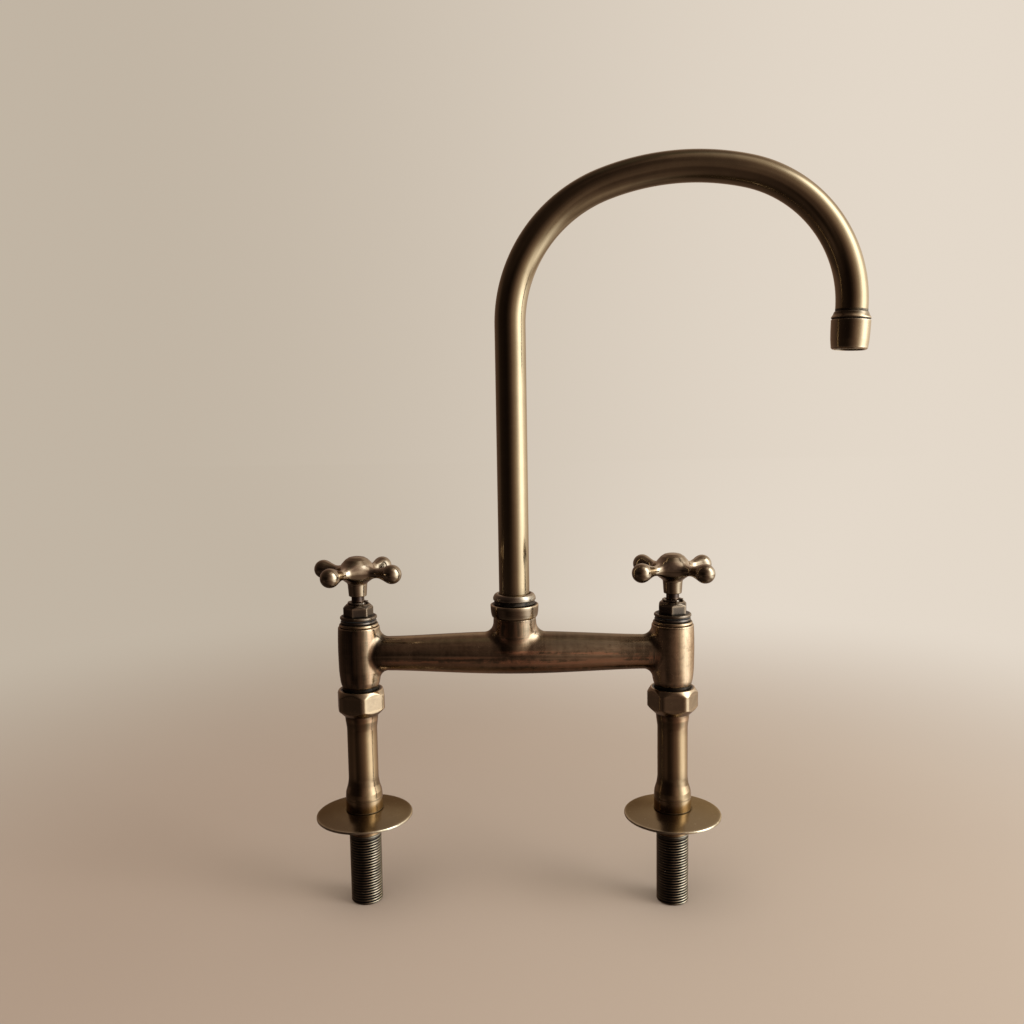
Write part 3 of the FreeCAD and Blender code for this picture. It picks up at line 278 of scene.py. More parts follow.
def surface(field, lo, hi, cell, passes=4):
    """closed quad mesh of field = 0 (surface nets, then pulled onto the field)"""
    axes = [np.arange(lo[k], hi[k] + cell, cell) for k in range(3)]
    X, Y, Z = np.meshgrid(*axes, indexing="ij")
    F = field(X, Y, Z).astype(np.float64)
    nx, ny, nz = F.shape
    S = F < 0
    mixed = np.zeros((nx - 1, ny - 1, nz - 1), bool)
    count = np.zeros(mixed.shape, np.int8)
    for dx in (0, 1):
        for dy in (0, 1):
            for dz in (0, 1):
                count += S[dx:nx - 1 + dx, dy:ny - 1 + dy, dz:nz - 1 + dz]
    mixed = (count > 0) & (count < 8)
    index = -np.ones(mixed.shape, np.int64)
    cells = np.argwhere(mixed)
    index[mixed] = np.arange(len(cells))
    acc = np.zeros((len(cells), 3))
    num = np.zeros(len(cells))
    corner = [(dx, dy, dz) for dx in (0, 1) for dy in (0, 1) for dz in (0, 1)]
    for a in corner:
        for k in range(3):
            if a[k]:
                continue
            b = list(a)
            b[k] = 1
            fa = F[cells[:, 0] + a[0], cells[:, 1] + a[1], cells[:, 2] + a[2]]
            fb = F[cells[:, 0] + b[0], cells[:, 1] + b[1], cells[:, 2] + b[2]]
            hit = (fa < 0) != (fb < 0)
            t = np.where(hit, fa / np.where(hit, fa - fb, 1), 0)
            p = np.tile(np.array(a, float), (len(cells), 1))
            p[:, k] += t
            acc += np.where(hit[:, None], p, 0)
            num += hit
    verts = (cells + acc / num[:, None]) * cell + np.array([ax[0] for ax in axes])
    faces = []
    for k in range(3):
        o = [0, 1, 2]
        o.remove(k)
        u, v = o
        sl_a = [slice(None)] * 3
        sl_b = [slice(None)] * 3
        sl_a[k], sl_b[k] = slice(0, -1), slice(1, None)
        cross = S[tuple(sl_a)] != S[tuple(sl_b)]
        edges = np.argwhere(cross)
        edges = edges[(edges[:, u] > 0) & (edges[:, v] > 0)
                      & (edges[:, u] < F.shape[u] - 1) & (edges[:, v] < F.shape[v] - 1)]
        low = S[tuple(sl_a)][tuple(edges.T)]
        quad = []
        for du, dv in ((-1, -1), (0, -1), (0, 0), (-1, 0)):
            c = edges.copy()
            c[:, u] += du
            c[:, v] += dv
            quad.append(index[c[:, 0], c[:, 1], c[:, 2]])
        quad = np.stack(quad, 1)
        flip = low if k != 1 else ~low
        quad[~flip] = quad[~flip][:, ::-1]
        faces.append(quad)
    faces = np.concatenate(faces)
    faces = faces[(faces >= 0).all(1)]

    def gradient(p, e=0.02):
        g = np.zeros_like(p)
        for k in range(3):
            q = p.copy()
            q[:, k] += e
            f1 = field(q[:, 0], q[:, 1], q[:, 2])
            q[:, k] -= 2 * e
            f0 = field(q[:, 0], q[:, 1], q[:, 2])
            g[:, k] = (f1 - f0) / (2 * e)
        return g

    # spread the vertices evenly over the surface, and pull them back onto it
    edge = np.concatenate([faces[:, [0, 1]], faces[:, [1, 2]], faces[:, [2, 3]], faces[:, [3, 0]]])
    for turn in range(passes):
        total = np.zeros_like(verts)
        deg = np.zeros(len(verts))
        for k in range(3):
            total[:, k] = (np.bincount(edge[:, 0], verts[edge[:, 1], k], len(verts))
                           + np.bincount(edge[:, 1], verts[edge[:, 0], k], len(verts)))
        deg = np.bincount(edge[:, 0], minlength=len(verts)) + np.bincount(edge[:, 1], minlength=len(verts))
        mean = total / deg[:, None]
        g = gradient(verts)
        g /= np.maximum(np.linalg.norm(g, axis=1, keepdims=True), 1e-9)
        move = (mean - verts) * 0.5
        move -= g * (move * g).sum(1, keepdims=True)
        verts = verts + move
        f = field(verts[:, 0], verts[:, 1], verts[:, 2])
        verts = verts - g * np.clip(f, -cell, cell)[:, None]
    f = field(verts[:, 0], verts[:, 1], verts[:, 2])
    g = gradient(verts)
    verts = verts - g / np.maximum((g * g).sum(1, keepdims=True), 1e-9) * np.clip(f, -cell, cell)[:, None]
    # curvature from the field itself: positive on outer edges
    e = 0.45
    lap = -6.0 * field(verts[:, 0], verts[:, 1], verts[:, 2])
    for k in range(3):
        for s in (-e, e):
            q = verts.copy()
            q[:, k] += s
            lap += field(q[:, 0], q[:, 1], q[:, 2])
    return verts, faces, lap / (e * e)


# --------------------------------------------------------------------------
# materials
# --------------------------------------------------------------------------
class Shader:
    """small helper round a material's node tree"""

    def __init__(self, name):
        self.mat = bpy.data.materials.new(name)
        self.mat.use_nodes = True
        self.tree = self.mat.node_tree
        self.tree.nodes.clear()
        self.out = self.add("ShaderNodeOutputMaterial")
        self.bsdf = self.add("ShaderNodeBsdfPrincipled")
        self.link(self.bsdf.outputs[0], self.out.inputs[0])
        self.pos = self.add("ShaderNodeTexCoord").outputs["Object"]

    def add(self, kind, **props):
        node = self.tree.nodes.new(kind)
        for key, value in props.items():
            setattr(node, key, value)
        return node

    def link(self, a, b):
        self.tree.links.new(a, b)

    def put(self, socket, value):
        if isinstance(value, bpy.types.NodeSocket):
            self.link(value, socket)
        elif value is not None:
            socket.default_value = value

    def attr(self, name, what="Fac"):
        return self.add("ShaderNodeAttribute", attribute_name=name).outputs[what]

    def scaled(self, vec, scale):
        m = self.add("ShaderNodeMapping")
        self.link(vec, m.inputs["Vector"])
        m.inputs["Scale"].default_value = scale
        return m.outputs[0]

    def noise(self, vec, scale, detail=3.0, rough=0.55, distort=0.0):
        n = self.add("ShaderNodeTexNoise")
        self.link(vec, n.inputs["Vector"])
        n.inputs["Scale"].default_value = scale
        n.inputs["Detail"].default_value = detail
        n.inputs["Roughness"].default_value = rough
        n.inputs["Distortion"].default_value = distort
        return n.outputs["Fac"]

    def math(self, op, a, b=None, c=None, clamp=False):
        n = self.add("ShaderNodeMath", operation=op, use_clamp=clamp)
        self.put(n.inputs[0], a)
        if b is not None:
            self.put(n.inputs[1], b)
        if c is not None:
            self.put(n.inputs[2], c)
        return n.outputs[0]

    def span(self, value, lo, hi, to_lo=0.0, to_hi=1.0, smooth=True):
        n = self.add("ShaderNodeMapRange", interpolation_type="SMOOTHSTEP" if smooth else "LINEAR")
        self.put(n.inputs[0], value)
        n.inputs[1].default_value = lo
        n.inputs[2].default_value = hi
        n.inputs[3].default_value = to_lo
        n.inputs[4].default_value = to_hi
        return n.outputs[0]

    def mix(self, fac, a, b, kind="MIX"):
        n = self.add("ShaderNodeMix", data_type="RGBA", blend_type=kind)
        self.put(n.inputs["Factor"], fac)
        for sock, value in ((n.inputs[6], a), (n.inputs[7], b)):
            if isinstance(value, bpy.types.NodeSocket):
                self.link(value, sock)
            else:
                sock.default_value = (*value, 1.0)
        return n.outputs[2]

    def bump(self, height, strength, distance, normal=None):
        n = self.add("ShaderNodeBump")
        n.inputs["Strength"].default_value = strength
        n.inputs["Distance"].default_value = distance
        self.put(n.inputs["Height"], height)
        if normal is not None:
            self.link(normal, n.inputs["Normal"])
        return n.outputs[0]


def aged_brass(name, tone=(0.36, 0.27, 0.165), low=0.62, high=1.22, red=0.0, rough=0.17, lines=0.3,
               streak=0.3, mottle=0.35, spots=0.25, edge=0.9, rub=(0.60, 0.44, 0.27), wave=0.035,
               offset=(0, 0, 0), coat=0.3, rim=(0.92, 0.84, 0.72), copper_tone=(0.42, 0.235, 0.135)):
    """brass under a worn brown patina: soft clouds, brushing lines round the
    piece, streaks along it, ageing spots, rubbed edges with painted highlights, dirt in corners with painted shade, and
    painted copper reflections"""
    s = Shader(name)
    shift = s.add("ShaderNodeVectorMath", operation="ADD")
    s.link(s.pos, shift.inputs[0])
    shift.inputs[1].default_value = offset
    pos = shift.outputs[0]
    grain = s.attr("grain", "Vector")
    wear_and_highlight = s.attr("wear_and_highlight")
    grime_and_gap_shade = s.attr("grime_and_gap_shade")
    cloud = s.noise(pos, 48, 4.0, 0.58, 0.5)
    blotch = s.noise(pos, 210, 4.0, 0.6, 0.6)
    speck = s.noise(pos, 1100, 3.0, 0.6)
    along = s.noise(s.scaled(grain, (330, 330, 9)), 1.0, 3.0, 0.6)
    hairs = s.noise(s.scaled(grain, (1500, 1500, 30)), 1.0, 2.0, 0.6)
    rings = s.noise(s.scaled(grain, (7, 7, 900)), 1.0, 4.0, 0.7)
    # tone of a place between the patina's low and high
    t = s.math("MULTIPLY_ADD", s.math("SUBTRACT", cloud, 0.5), 1.6 * mottle, 0.5)
    t = s.math("MULTIPLY_ADD", s.math("SUBTRACT", blotch, 0.5), 1.1 * mottle, t)
    t = s.math("MULTIPLY_ADD", s.math("SUBTRACT", along, 0.5), 2.0 * streak, t)
    t = s.math("MULTIPLY_ADD", s.math("SUBTRACT", hairs, 0.5), 0.7 * streak, t)
    t = s.math("MULTIPLY_ADD", s.math("SUBTRACT", rings, 0.5), 1.1 * lines, t, clamp=True)
    base = s.mix(t, tuple(c * low for c in tone), tuple(min(1.0, c * high) for c in tone))
    if red > 0:
        copper = s.span(s.math("ADD", s.math("MULTIPLY", along, 0.6), s.math("MULTIPLY", cloud, 0.4)),
                        0.47, 0.60)
        base = s.mix(s.math("MULTIPLY", copper, red), base, (tone[0] * 1.15, tone[1] * 0.82, tone[2] * 0.72))
    # copper tone where the patina has gone and painted warm reflections, both from the copper attribute, then painted
    # shade from the shade attribute
    glow = s.math("MULTIPLY", s.attr("copper"), s.span(s.math("ADD", s.math("MULTIPLY", along, 0.7),
                                                              s.math("MULTIPLY", blotch, 0.3)), 0.42, 0.56))
    base = s.mix(glow, base, copper_tone)
    dim = s.math("MULTIPLY", s.attr("shade"), s.span(s.math("ADD", s.math("MULTIPLY", cloud, 0.5),
                                                            s.math("MULTIPLY", along, 0.5)), 0.30, 0.62, 1.0, 0.72))
    base = s.mix(dim, base, tuple(0.09 * c for c in tone))
    # small dark ageing spots
    dots = s.math("MULTIPLY", s.span(speck, 0.64, 0.74), s.span(blotch, 0.42, 0.62))
    base = s.mix(s.math("MULTIPLY", dots, spots), base, tuple(0.3 * c for c in tone))
    # dirt in corners and painted shade in gaps, rubbed metal on edges and painted highlights
    dirt_and_shade = s.math("MULTIPLY", grime_and_gap_shade, s.span(blotch, 0.3, 0.6, 0.65, 1.0))
    base = s.mix(s.math("MULTIPLY", dirt_and_shade, 0.97, clamp=True), base, (0.009, 0.007, 0.005))
    worn_and_highlight = s.math("MULTIPLY", wear_and_highlight, s.span(s.math("ADD", blotch, s.math("MULTIPLY", speck, 0.3)),
                                           0.42, 0.72, 0.55, 1.0))
    worn_and_highlight = s.math("MULTIPLY", worn_and_highlight, edge, clamp=True)
    base = s.mix(worn_and_highlight, base, rub)
    s.link(base, s.bsdf.inputs["Base Color"])
    s.bsdf.inputs["Metallic"].default_value = 1.0
    ro = s.math("MULTIPLY_ADD", s.math("SUBTRACT", blotch, 0.5), 0.30 * mottle, rough)
    ro = s.math("MULTIPLY_ADD", s.math("SUBTRACT", rings, 0.5), 0.20 * lines, ro)
    ro = s.math("MULTIPLY_ADD", s.math("SUBTRACT", along, 0.5), 0.14 * streak, ro)
    ro = s.math("MULTIPLY_ADD", dirt_and_shade, 0.40, ro)
    ro = s.math("MULTIPLY_ADD", s.attr("matt"), 0.26, ro)
    ro = s.math("MULTIPLY_ADD", dots, 0.12, ro)
    ro = s.math("MAXIMUM", ro, 0.06, clamp=True)
    s.link(ro, s.bsdf.inputs["Roughness"])
    n1 = s.bump(rings, 0.20 * lines, 0.00004)
    n2 = s.bump(hairs, 0.10 * streak + 0.01, 0.00003, n1)
    n3 = s.bump(blotch, wave, 0.00020, n2)
    n4 = s.bump(speck, 0.05, 0.00004, n3)
    s.link(n4, s.bsdf.inputs["Normal"])
    s.bsdf.inputs["Coat Weight"].default_value = coat
    s.bsdf.inputs["Coat Roughness"].default_value = 0.10
    s.bsdf.inputs["Specular Tint"].default_value = (*rim, 1.0)
    return s.mat


M_LEG = aged_brass("aged_brass_leg", tone=(0.39, 0.28, 0.155), rough=0.17, lines=0.10, streak=0.35, mottle=0.2,
                   offset=(0.3, 0, 0))
M_BODY = aged_brass("aged_brass_body", tone=(0.31, 0.23, 0.15), rough=0.18, lines=0.55, streak=0.10)
M_NUT = aged_brass("aged_brass_nut", tone=(0.39, 0.295, 0.185), rough=0.22, lines=0.05, streak=0.0, mottle=0.55,
                   rub=(0.62, 0.45, 0.27), wave=0.09, edge=0.7, offset=(0, 0.7, 0), coat=0.6, spots=0.7)
M_FLANGE = aged_brass("aged_brass_flange", tone=(0.31, 0.245, 0.155), low=0.80, high=1.15, rough=0.22, lines=0.10,
                      streak=0.0, mottle=0.35, rub=(0.75, 0.66, 0.48), edge=0.9, offset=(0.9, 0, 0), coat=0.0,
                      rim=(0.66, 0.56, 0.43))
M_BRIDGE = aged_brass("aged_brass_bridge", tone=(0.30, 0.225, 0.14), low=0.5, high=1.35, red=0.3, rough=0.19,
                      lines=0.9, streak=0.85, mottle=0.45, rub=(0.74, 0.55, 0.35), offset=(0, 0.2, 0),
                      copper_tone=(0.80, 0.43, 0.25))
M_HANDLE = aged_brass("aged_brass_handle", tone=(0.38, 0.295, 0.195), rough=0.155, lines=0.0, streak=0.0,
                      mottle=0.35, rub=(0.80, 0.67, 0.50), offset=(0.5, 0.5, 0), coat=0.55)
M_SPOUT = aged_brass("aged_brass_spout", tone=(0.37, 0.28, 0.165), rough=0.16, lines=0.10, streak=0.42,
                     mottle=0.25, offset=(0, 0, 0.6))
M_COLLAR = aged_brass("aged_brass_collar", tone=(0.25, 0.185, 0.12), rough=0.20, lines=0.25, mottle=0.45,
                      streak=0.1, rub=(0.62, 0.50, 0.34), offset=(0.2, 0.4, 0))
M_CAP = aged_brass("aged_brass_cap", tone=(0.30, 0.25, 0.185), rough=0.20, lines=0.2, mottle=0.35,
                   streak=0.0, rub=(0.55, 0.46, 0.34), edge=0.6, offset=(0.7, 0.4, 0.3))
M_OUTLET = aged_brass("aged_brass_outlet", tone=(0.41, 0.31, 0.19), rough=0.17, lines=0.3, mottle=0.25,
                      streak=0.1, rub=(0.72, 0.58, 0.40), offset=(0.2, 0.1, 0.5))
M_BEAD = aged_brass("aged_brass_bead", tone=(0.27, 0.20, 0.12), rough=0.20, lines=0.1, mottle=0.3, streak=0.0)
M_DARK = aged_brass("dark_brass", tone=(0.105, 0.084, 0.064), rough=0.22, lines=0.3, streak=0.0, mottle=0.4,
                    rub=(0.48, 0.37, 0.25), edge=0.9)
M_RINGS = aged_brass("dark_ring", tone=(0.105, 0.090, 0.078), rough=0.22, lines=0.2, streak=0.0, mottle=0.3,
                     rub=(0.22, 0.18, 0.14), edge=0.5)
M_SPINDLE = aged_brass("dark_spindle", tone=(0.075, 0.052, 0.040), rough=0.22, lines=0.4, streak=0.0, mottle=0.3,
                       rub=(0.30, 0.20, 0.13), edge=0.8)
M_THREAD = aged_brass("thread_brass", tone=(0.030, 0.026, 0.021), rough=0.22, lines=0.0, streak=0.0,
                      mottle=0.4, edge=0.85, rub=(0.62, 0.54, 0.39), coat=0.2)
M_COPPER = aged_brass("tail_neck_brass", tone=(0.34, 0.22, 0.11), rough=0.22, lines=0.2, streak=0.0,
                      mottle=0.5, rub=(0.80, 0.60, 0.34))


def plain(name, color, rough, metallic=0.0, grain=600.0, amount=0.25, bump=0.05):
    """rubber, plastic, ceramic or steel with a fine grain"""
    s = Shader(name)
    fine = s.noise(s.pos, grain, 4.0, 0.6)
    wide = s.noise(s.pos, grain * 0.12, 3.0, 0.5)
    tone = s.span(s.math("ADD", s.math("MULTIPLY", fine, 0.5), s.math("MULTIPLY", wide, 0.5)), 0.35, 0.65)
    s.link(s.mix(tone, tuple(c * (1 - amount) for c in color),
                 tuple(min(1.0, c * (1 + amount)) for c in color)), s.bsdf.inputs["Base Color"])
    s.bsdf.inputs["Metallic"].default_value = metallic
    s.link(s.span(fine, 0.3, 0.7, max(0.02, rough - 0.08), min(1.0, rough + 0.08)),
           s.bsdf.inputs["Roughness"])
    s.link(s.bump(fine, bump, 0.0001), s.bsdf.inputs["Normal"])
    return s.mat


M_RUBBER = plain("black_rubber", (0.018, 0.017, 0.016), 0.42)
M_NYLON = plain("black_nylon", (0.03, 0.03, 0.032), 0.45)
M_CERAMIC = plain("white_ceramic", (0.80, 0.79, 0.76), 0.15, amount=0.04)
M_STEEL = plain("spring_steel", (0.16, 0.13, 0.11), 0.35, metallic=1.0)
M_CLIP = aged_brass("clip_steel", tone=(0.16, 0.13, 0.10), low=0.25, high=1.2, rough=0.26, lines=0.0, streak=0.0,
                    mottle=0.9, rub=(0.45, 0.38, 0.29), edge=0.8)

# materials of the CAD nodes that stay as they are
SLOT_MATERIAL = {"aged_brass": M_BODY, "flange_brass": M_FLANGE, "tail_brass": M_THREAD,
                 "dark_brass": M_SPINDLE, "spring_steel": M_STEEL, "rubber": M_RUBBER,
                 "ceramic": M_CERAMIC, "nylon": M_NYLON}
slot_of = {p["node"]: p["material_slot"] for p in frame["record"]["subparts"]}
for node_name, ob in nodes.items():
    ob.data.materials.clear()
    ob.data.materials.append(SLOT_MATERIAL[slot_of[node_name]])
    for poly in ob.data.polygons:
        poly.material_index = 0

# --------------------------------------------------------------------------
# pieces that come in pairs
# --------------------------------------------------------------------------
PITCH = 1.814


def thread_shape(z_lo, z_hi, crest, depth):
    """helical thread between two heights, fading out at both ends"""
    def shape(R, TH, Z, W):
        phase = np.mod(Z / PITCH - TH / (2 * math.pi), 1.0)
        tri = np.abs(phase - 0.5) * 2.0           # 1 at the crest, 0 at the root
        prof = np.clip((tri - 0.10) / 0.66, 0, 1)
        prof = prof * prof * (3 - 2 * prof) * 0.55 + prof * 0.45
        fade = np.clip((Z - z_lo) / 1.2, 0, 1) * np.clip((z_hi - Z) / 1.6, 0, 1)
        side = (R > crest - 0.35) & (Z > z_lo) & (Z < z_hi)
        cut = depth * (1 - prof) * fade
        R2 = np.where(side, R - cut, R)
        W2 = np.where(side, np.clip((prof - 0.82) / 0.18, 0, 1) * fade, W)
        return R2, W2
    return shape


def clip_field(X, Y, Z):
    """open spring clip with three inner lobes and two thicker ends"""
    r = np.sqrt(X * X + Y * Y)
    th = np.arctan2(Y, X)
    ring = np.maximum(np.abs(Z - 143.08) - 0.42, np.maximum(r - 6.55, 4.75 - r))
    for deg in (60.0, 150.0, 240.0):
        a = math.radians(deg)
        u, v = X * math.cos(a) + Y * math.sin(a), -X * math.sin(a) + Y * math.cos(a)
        lobe = np.maximum(np.maximum(np.abs(u - 4.5) - 0.9, np.abs(v) - 1.05), np.abs(Z - 143.08) - 0.42)
        ring = smin(ring, lobe, 0.5)
    for deg in (8.0, 292.0):
        a = math.radians(deg)
        end = np.sqrt((X - 5.9 * math.cos(a)) ** 2 + (Y - 5.9 * math.sin(a)) ** 2) - 0.85
        ring = smin(ring, np.maximum(end, np.abs(Z - 143.08) - 0.46), 0.4)
    a = math.radians(-30.0)
    u, v = X * math.cos(a) + Y * math.sin(a), -X * math.sin(a) + Y * math.cos(a)
    gap = np.maximum(np.abs(v) - u * math.tan(math.radians(26.0)), -u)
    return np.maximum(ring, -gap) - 0.12


def screw_field(X, Y, Z):
    """grub screw along +Y with a hexagon socket, about z 150.6"""
    zz = Z - 150.6
    r = np.sqrt(X * X + zz * zz)
    body = np.maximum(r - 1.85, np.abs(Y - 4.6) - 1.0)
    body = np.maximum(body, (r + np.abs(Y - 4.6) - 2.55) * 0.7071)
    hexa = np.maximum(np.abs(zz), 0.5 * np.abs(zz) + 0.866 * np.abs(X)) - 0.95
    return round_cut(body - 0.12, np.maximum(hexa, 4.4 - Y), 0.08)


cv, cf, ccurv = surface(clip_field, (-7.6, -7.6, 142.2), (7.6, 7.6, 144.0), 0.24, passes=3)
c_wear = np.clip((ccurv - 0.4) / 2.5, 0, 1)
kv, kf, kcurv = surface(screw_field, (-2.5, 3.0, 148.0), (2.5, 6.2, 153.2), 0.16, passes=3)
k_wear = np.clip((kcurv - 0.8) / 3.0, 0, 1)
TURN = {"left": 18.5, "right": -6.4}

for side, sx, nut_deg, hex_deg in (("left", -1, 45.5, 15.0), ("right", 1, 57.0, 19.0)):
    X = sx * VX
    # tail with a real helical thread and a plain brass neck
    outline = [(6.5, -58.0, 0.4), (9.6, -58.0, 0.3), (10.478, -57.1, 0.3), (10.478, -11.9, 0.0),
               (10.25, -11.5, 0.1), (10.25, 16.0, 0.3), (6.5, 16.0, 0.3)]
    tail = lathe(side + "_tail_visual", outline, (X, 0, 0), M_THREAD, "fixed_frame", (side + "_tail",),
                 seg=96, fine=0.12, coarse=0.13,
                 shape=thread_shape(-57.6, -12.6, 10.478, 1.10))
    tail.data.materials.append(M_COPPER)
    for poly in tail.data.polygons:
        if poly.center.z > -0.0112:
            poly.material_index = 1
    # deck flange, with painted shade on its lower rim, round the foot of the leg and lightly over the left flange
    lathe(side + "_flange_visual", [
        (10.7, 3.2, 0.2), (12.4, 3.2, 2.0), (21.0, 2.15, 40.0), (28.9, 0.35, 1.0), (29.6, 0.0, 0.5),
        (31.5, 0.0, 0.45), (31.5, 1.45, 0.55), (30.6, 1.60, 1.0), (21.5, 3.35, 60.0), (13.2, 4.6, 6.0, 0.2),
        (10.7, 4.6, 0.2, 0.2)], (X, 0, 0), M_FLANGE, "fixed_frame", (side + "_flange",), seg=192,
        shade=lambda r, z: np.where(z < 0.55, 0.75, np.maximum(np.clip(1.0 - (r - 12.0) / 1.3, 0, 1) * 0.8,
                                                                 0.12 if sx < 0 else 0.0)))
    # leg, with painted shade at its foot, on its shoulder and under the nut, painted shade where it meets the flange,
    # and a dark seam line
    lathe(side + "_leg_visual", [
        (6.5, 16.0, 0.2), (10.6, 16.0, 0.2), (10.6, 4.6, 0.2), (12.0, 4.6, 0.3), (12.0, 14.2, 12.0),
        (11.75, 17.2, 4.5), (10.45, 21.6, 4.5), (9.8, 25.8, 14.0), (9.8, 60.0, 12.0), (10.55, 65.4, 5.0),
        (10.7, 67.4, 4.0), (10.7, 73.5, 0.2), (11.7, 73.5, 0.3), (11.7, 76.4, 0.3), (6.5, 76.4, 0.3)],
        (X, 0, 0), M_LEG, "fixed_frame", (side + "_leg",), seg=128, fine=0.3, coarse=1.2,
        dirt_and_gap_shade=bands((4.9, 0.9), (5.6, 0.0), (12.55, 0.0), (12.85, 0.75), (13.15, 0.0)),
        shade=bands((4.6, 0.35), (9.5, 0.10), (12.0, 0.0), (14.5, 0.05), (20.5, 0.25), (23.0, 0.55), (26.5, 0.28),
                    (33.0, 0.0), (54.0, 0.0), (60.5, 0.35), (64.2, 0.62), (65.4, 0.15), (67.0, 0.35), (69.2, 0.9)),
        copper=bands((5.0, 0.25), (14.0, 0.05), (20.0, 0.2), (30.0, 0.08), (56.0, 0.10), (62.0, 0.5), (68.0, 0.8)))
    # union nut: hexagon with turned chamfers; painted shadow on the inner top face below the valve body, and painted
    # shade on its bottom edge
    lathe(side + "_union_nut_visual", [
        (10.85, 69.2, 0.15, 0.3), (11.9, 69.2, 0.4, 0.5), (16.3, 73.5, 0.8, 0.8), (16.3, 82.7, 0.8, 0.8),
        (14.1, 86.0, 0.5), (12.0, 86.0, 0.3, 0.2), (12.0, 73.5, 0.2), (10.85, 73.5, 0.2)],
        (X, 0, 0), M_NUT, "fixed_frame", (side + "_union_nut",), seg=360, fine=0.16, coarse=0.3,
        shape=hexed(29.5, nut_deg, 69.0, 87.0, 0.55, 0.6),
        dirt_and_gap_shade=lambda r, z: np.where((z > 84.5) & (r < 13.3), 1.0, 0.0),
        shade=lambda r, z: np.clip((70.6 - z) / 1.2, 0, 1) * 0.8)
    # rings under the cartridge's flange, with painted shade in the gaps above and below them
    lathe(side + "_bonnet_ring_visual", [
        (10.6, 127.6, 0.2, 0), (12.3, 127.6, 0.5), (12.75, 128.2, 0.6), (12.5, 129.3, 0.7), (11.7, 129.75, 0.3),
        (10.6, 129.8, 0.2, 0)],
        (X, 0, 0), M_BEAD, "fixed_frame", (side + "_bonnet_ring",), seg=144, fine=0.12,
        dirt_and_gap_shade=bands((127.5, 1.0), (127.95, 0.9), (128.15, 0.0), (129.25, 0.0), (129.5, 0.9), (129.9, 1.0)))
    lathe(side + "_lock_ring_visual", [
        (10.6, 129.8, 0.1, 0), (10.9, 129.8, 0.1, 0), (11.6, 130.3, 0.5), (11.6, 131.2, 0.5),
        (11.0, 131.8, 0.3), (10.6, 131.8, 0.1, 0)],
        (X, 0, 0), M_RINGS, "fixed_frame", (side + "_lock_ring",), seg=144, fine=0.12,
        dirt_and_gap_shade=bands((129.8, 1.0), (130.0, 1.0), (130.25, 0.0), (131.35, 0.0), (131.6, 1.0)))
    # cartridge, with painted shade in the gap under its flange and in the groove between the flange and the hexagon
    lathe(side + "_cartridge_visual", [
        (8.6, 103.5, 0.2), (10.0, 103.5, 0.3), (10.0, 118.5, 0.2), (10.2, 118.9, 0.2), (10.2, 132.5, 0.15),
        (11.5, 132.5, 0.3, 0.3), (11.9, 133.0, 0.5, 0.5), (11.9, 134.0, 0.5, 0.5), (11.4, 134.5, 0.4, 0.3),
        (9.7, 134.6, 0.12), (9.7, 140.0, 0.3), (7.4, 142.3, 0.3), (4.2, 142.3, 0.2), (4.2, 125.0, 0.2),
        (6.3, 125.0, 0.2), (6.3, 118.0, 0.2), (8.6, 118.0, 0.2)],
        (X, 0, 0), M_DARK, "fixed_frame", (side + "_cartridge",), seg=300, fine=0.14, coarse=0.3,
        shape=hexed(17.0, hex_deg, 134.58, 142.6, 0.16),
        dirt_and_gap_shade=lambda r, z: np.maximum(np.clip((132.9 - z) / 0.25, 0, 1) * (z > 131.0),
                                      np.clip((10.9 - r) / 0.5, 0, 1) * (z > 134.0) * (z < 134.9)))
    # spindle
    lathe(side + "_spindle_visual", [
        (0, 108.95, 0), (7.8, 110.2, 0.2), (7.8, 113.0, 0.2), (5.0, 113.0, 0.2), (5.0, 119.0, 0.2),
        (5.8, 119.0, 0.2), (5.8, 124.7, 0.2), (4.15, 124.7, 0.2), (4.15, 142.3, 0.1), (3.4, 142.3, 0.1),
        (3.4, 143.8, 0.1), (4.15, 143.8, 0.25), (4.15, 159.4, 0.2), (3.7, 159.8, 0.1), (0, 159.8, 0)],
        (X, 0, 0), M_SPINDLE, side + "_handle", (side + "_spindle",), seg=72)
    # clip and grub screw, turned with the handle
    c, s = math.cos(math.radians(TURN[side])), math.sin(math.radians(TURN[side]))
    rot = np.array([[c, -s, 0], [s, c, 0], [0, 0, 1]])
    for name, v, f, w, mat in (("_spindle_clip", cv, cf, c_wear, M_CLIP), ("_handle_screw", kv, kf, k_wear, M_STEEL)):
        make_object(side + name + "_visual", v @ rot.T + np.array([X, 0, 0]), f,
                    {"wear_and_highlight": w, "grime_and_gap_shade": np.zeros(len(v)), "grain": v * MM}, mat, side + "_handle",
                    (side + name,))

# --------------------------------------------------------------------------
# collar nut, ferrule, outlet
# --------------------------------------------------------------------------
# painted shade in the gaps at the collar's foot and inside its top rim, darker towards its foot, and a thin painted
# dark line below the top rim
lathe("hub_collar_visual", [
    (13.15, 132.8, 0.15), (13.95, 132.8, 0.35), (14.75, 133.7, 1.6), (15.25, 136.0, 6.0),
    (15.5, 139.2, 3.0), (15.5, 141.1, 0.35, 1.6), (14.9, 141.4, 0.25, 1.2), (11.4, 141.4, 0.2),
    (11.4, 139.5, 0.1), (13.15, 139.5, 0.1)],
    (0, 0, 0), M_COLLAR, "fixed_frame", ("hub_collar",), seg=144, fine=0.18,
    dirt_and_gap_shade=lambda r, z: np.maximum(np.clip((133.25 - z) / 0.35, 0, 1), np.clip((14.6 - r) / 0.4, 0, 1) * (z > 141.0)),
    shade=bands((132.8, 0.6), (135.5, 0.15), (139.8, 0.0), (140.3, 0.30), (140.7, 0.0)))
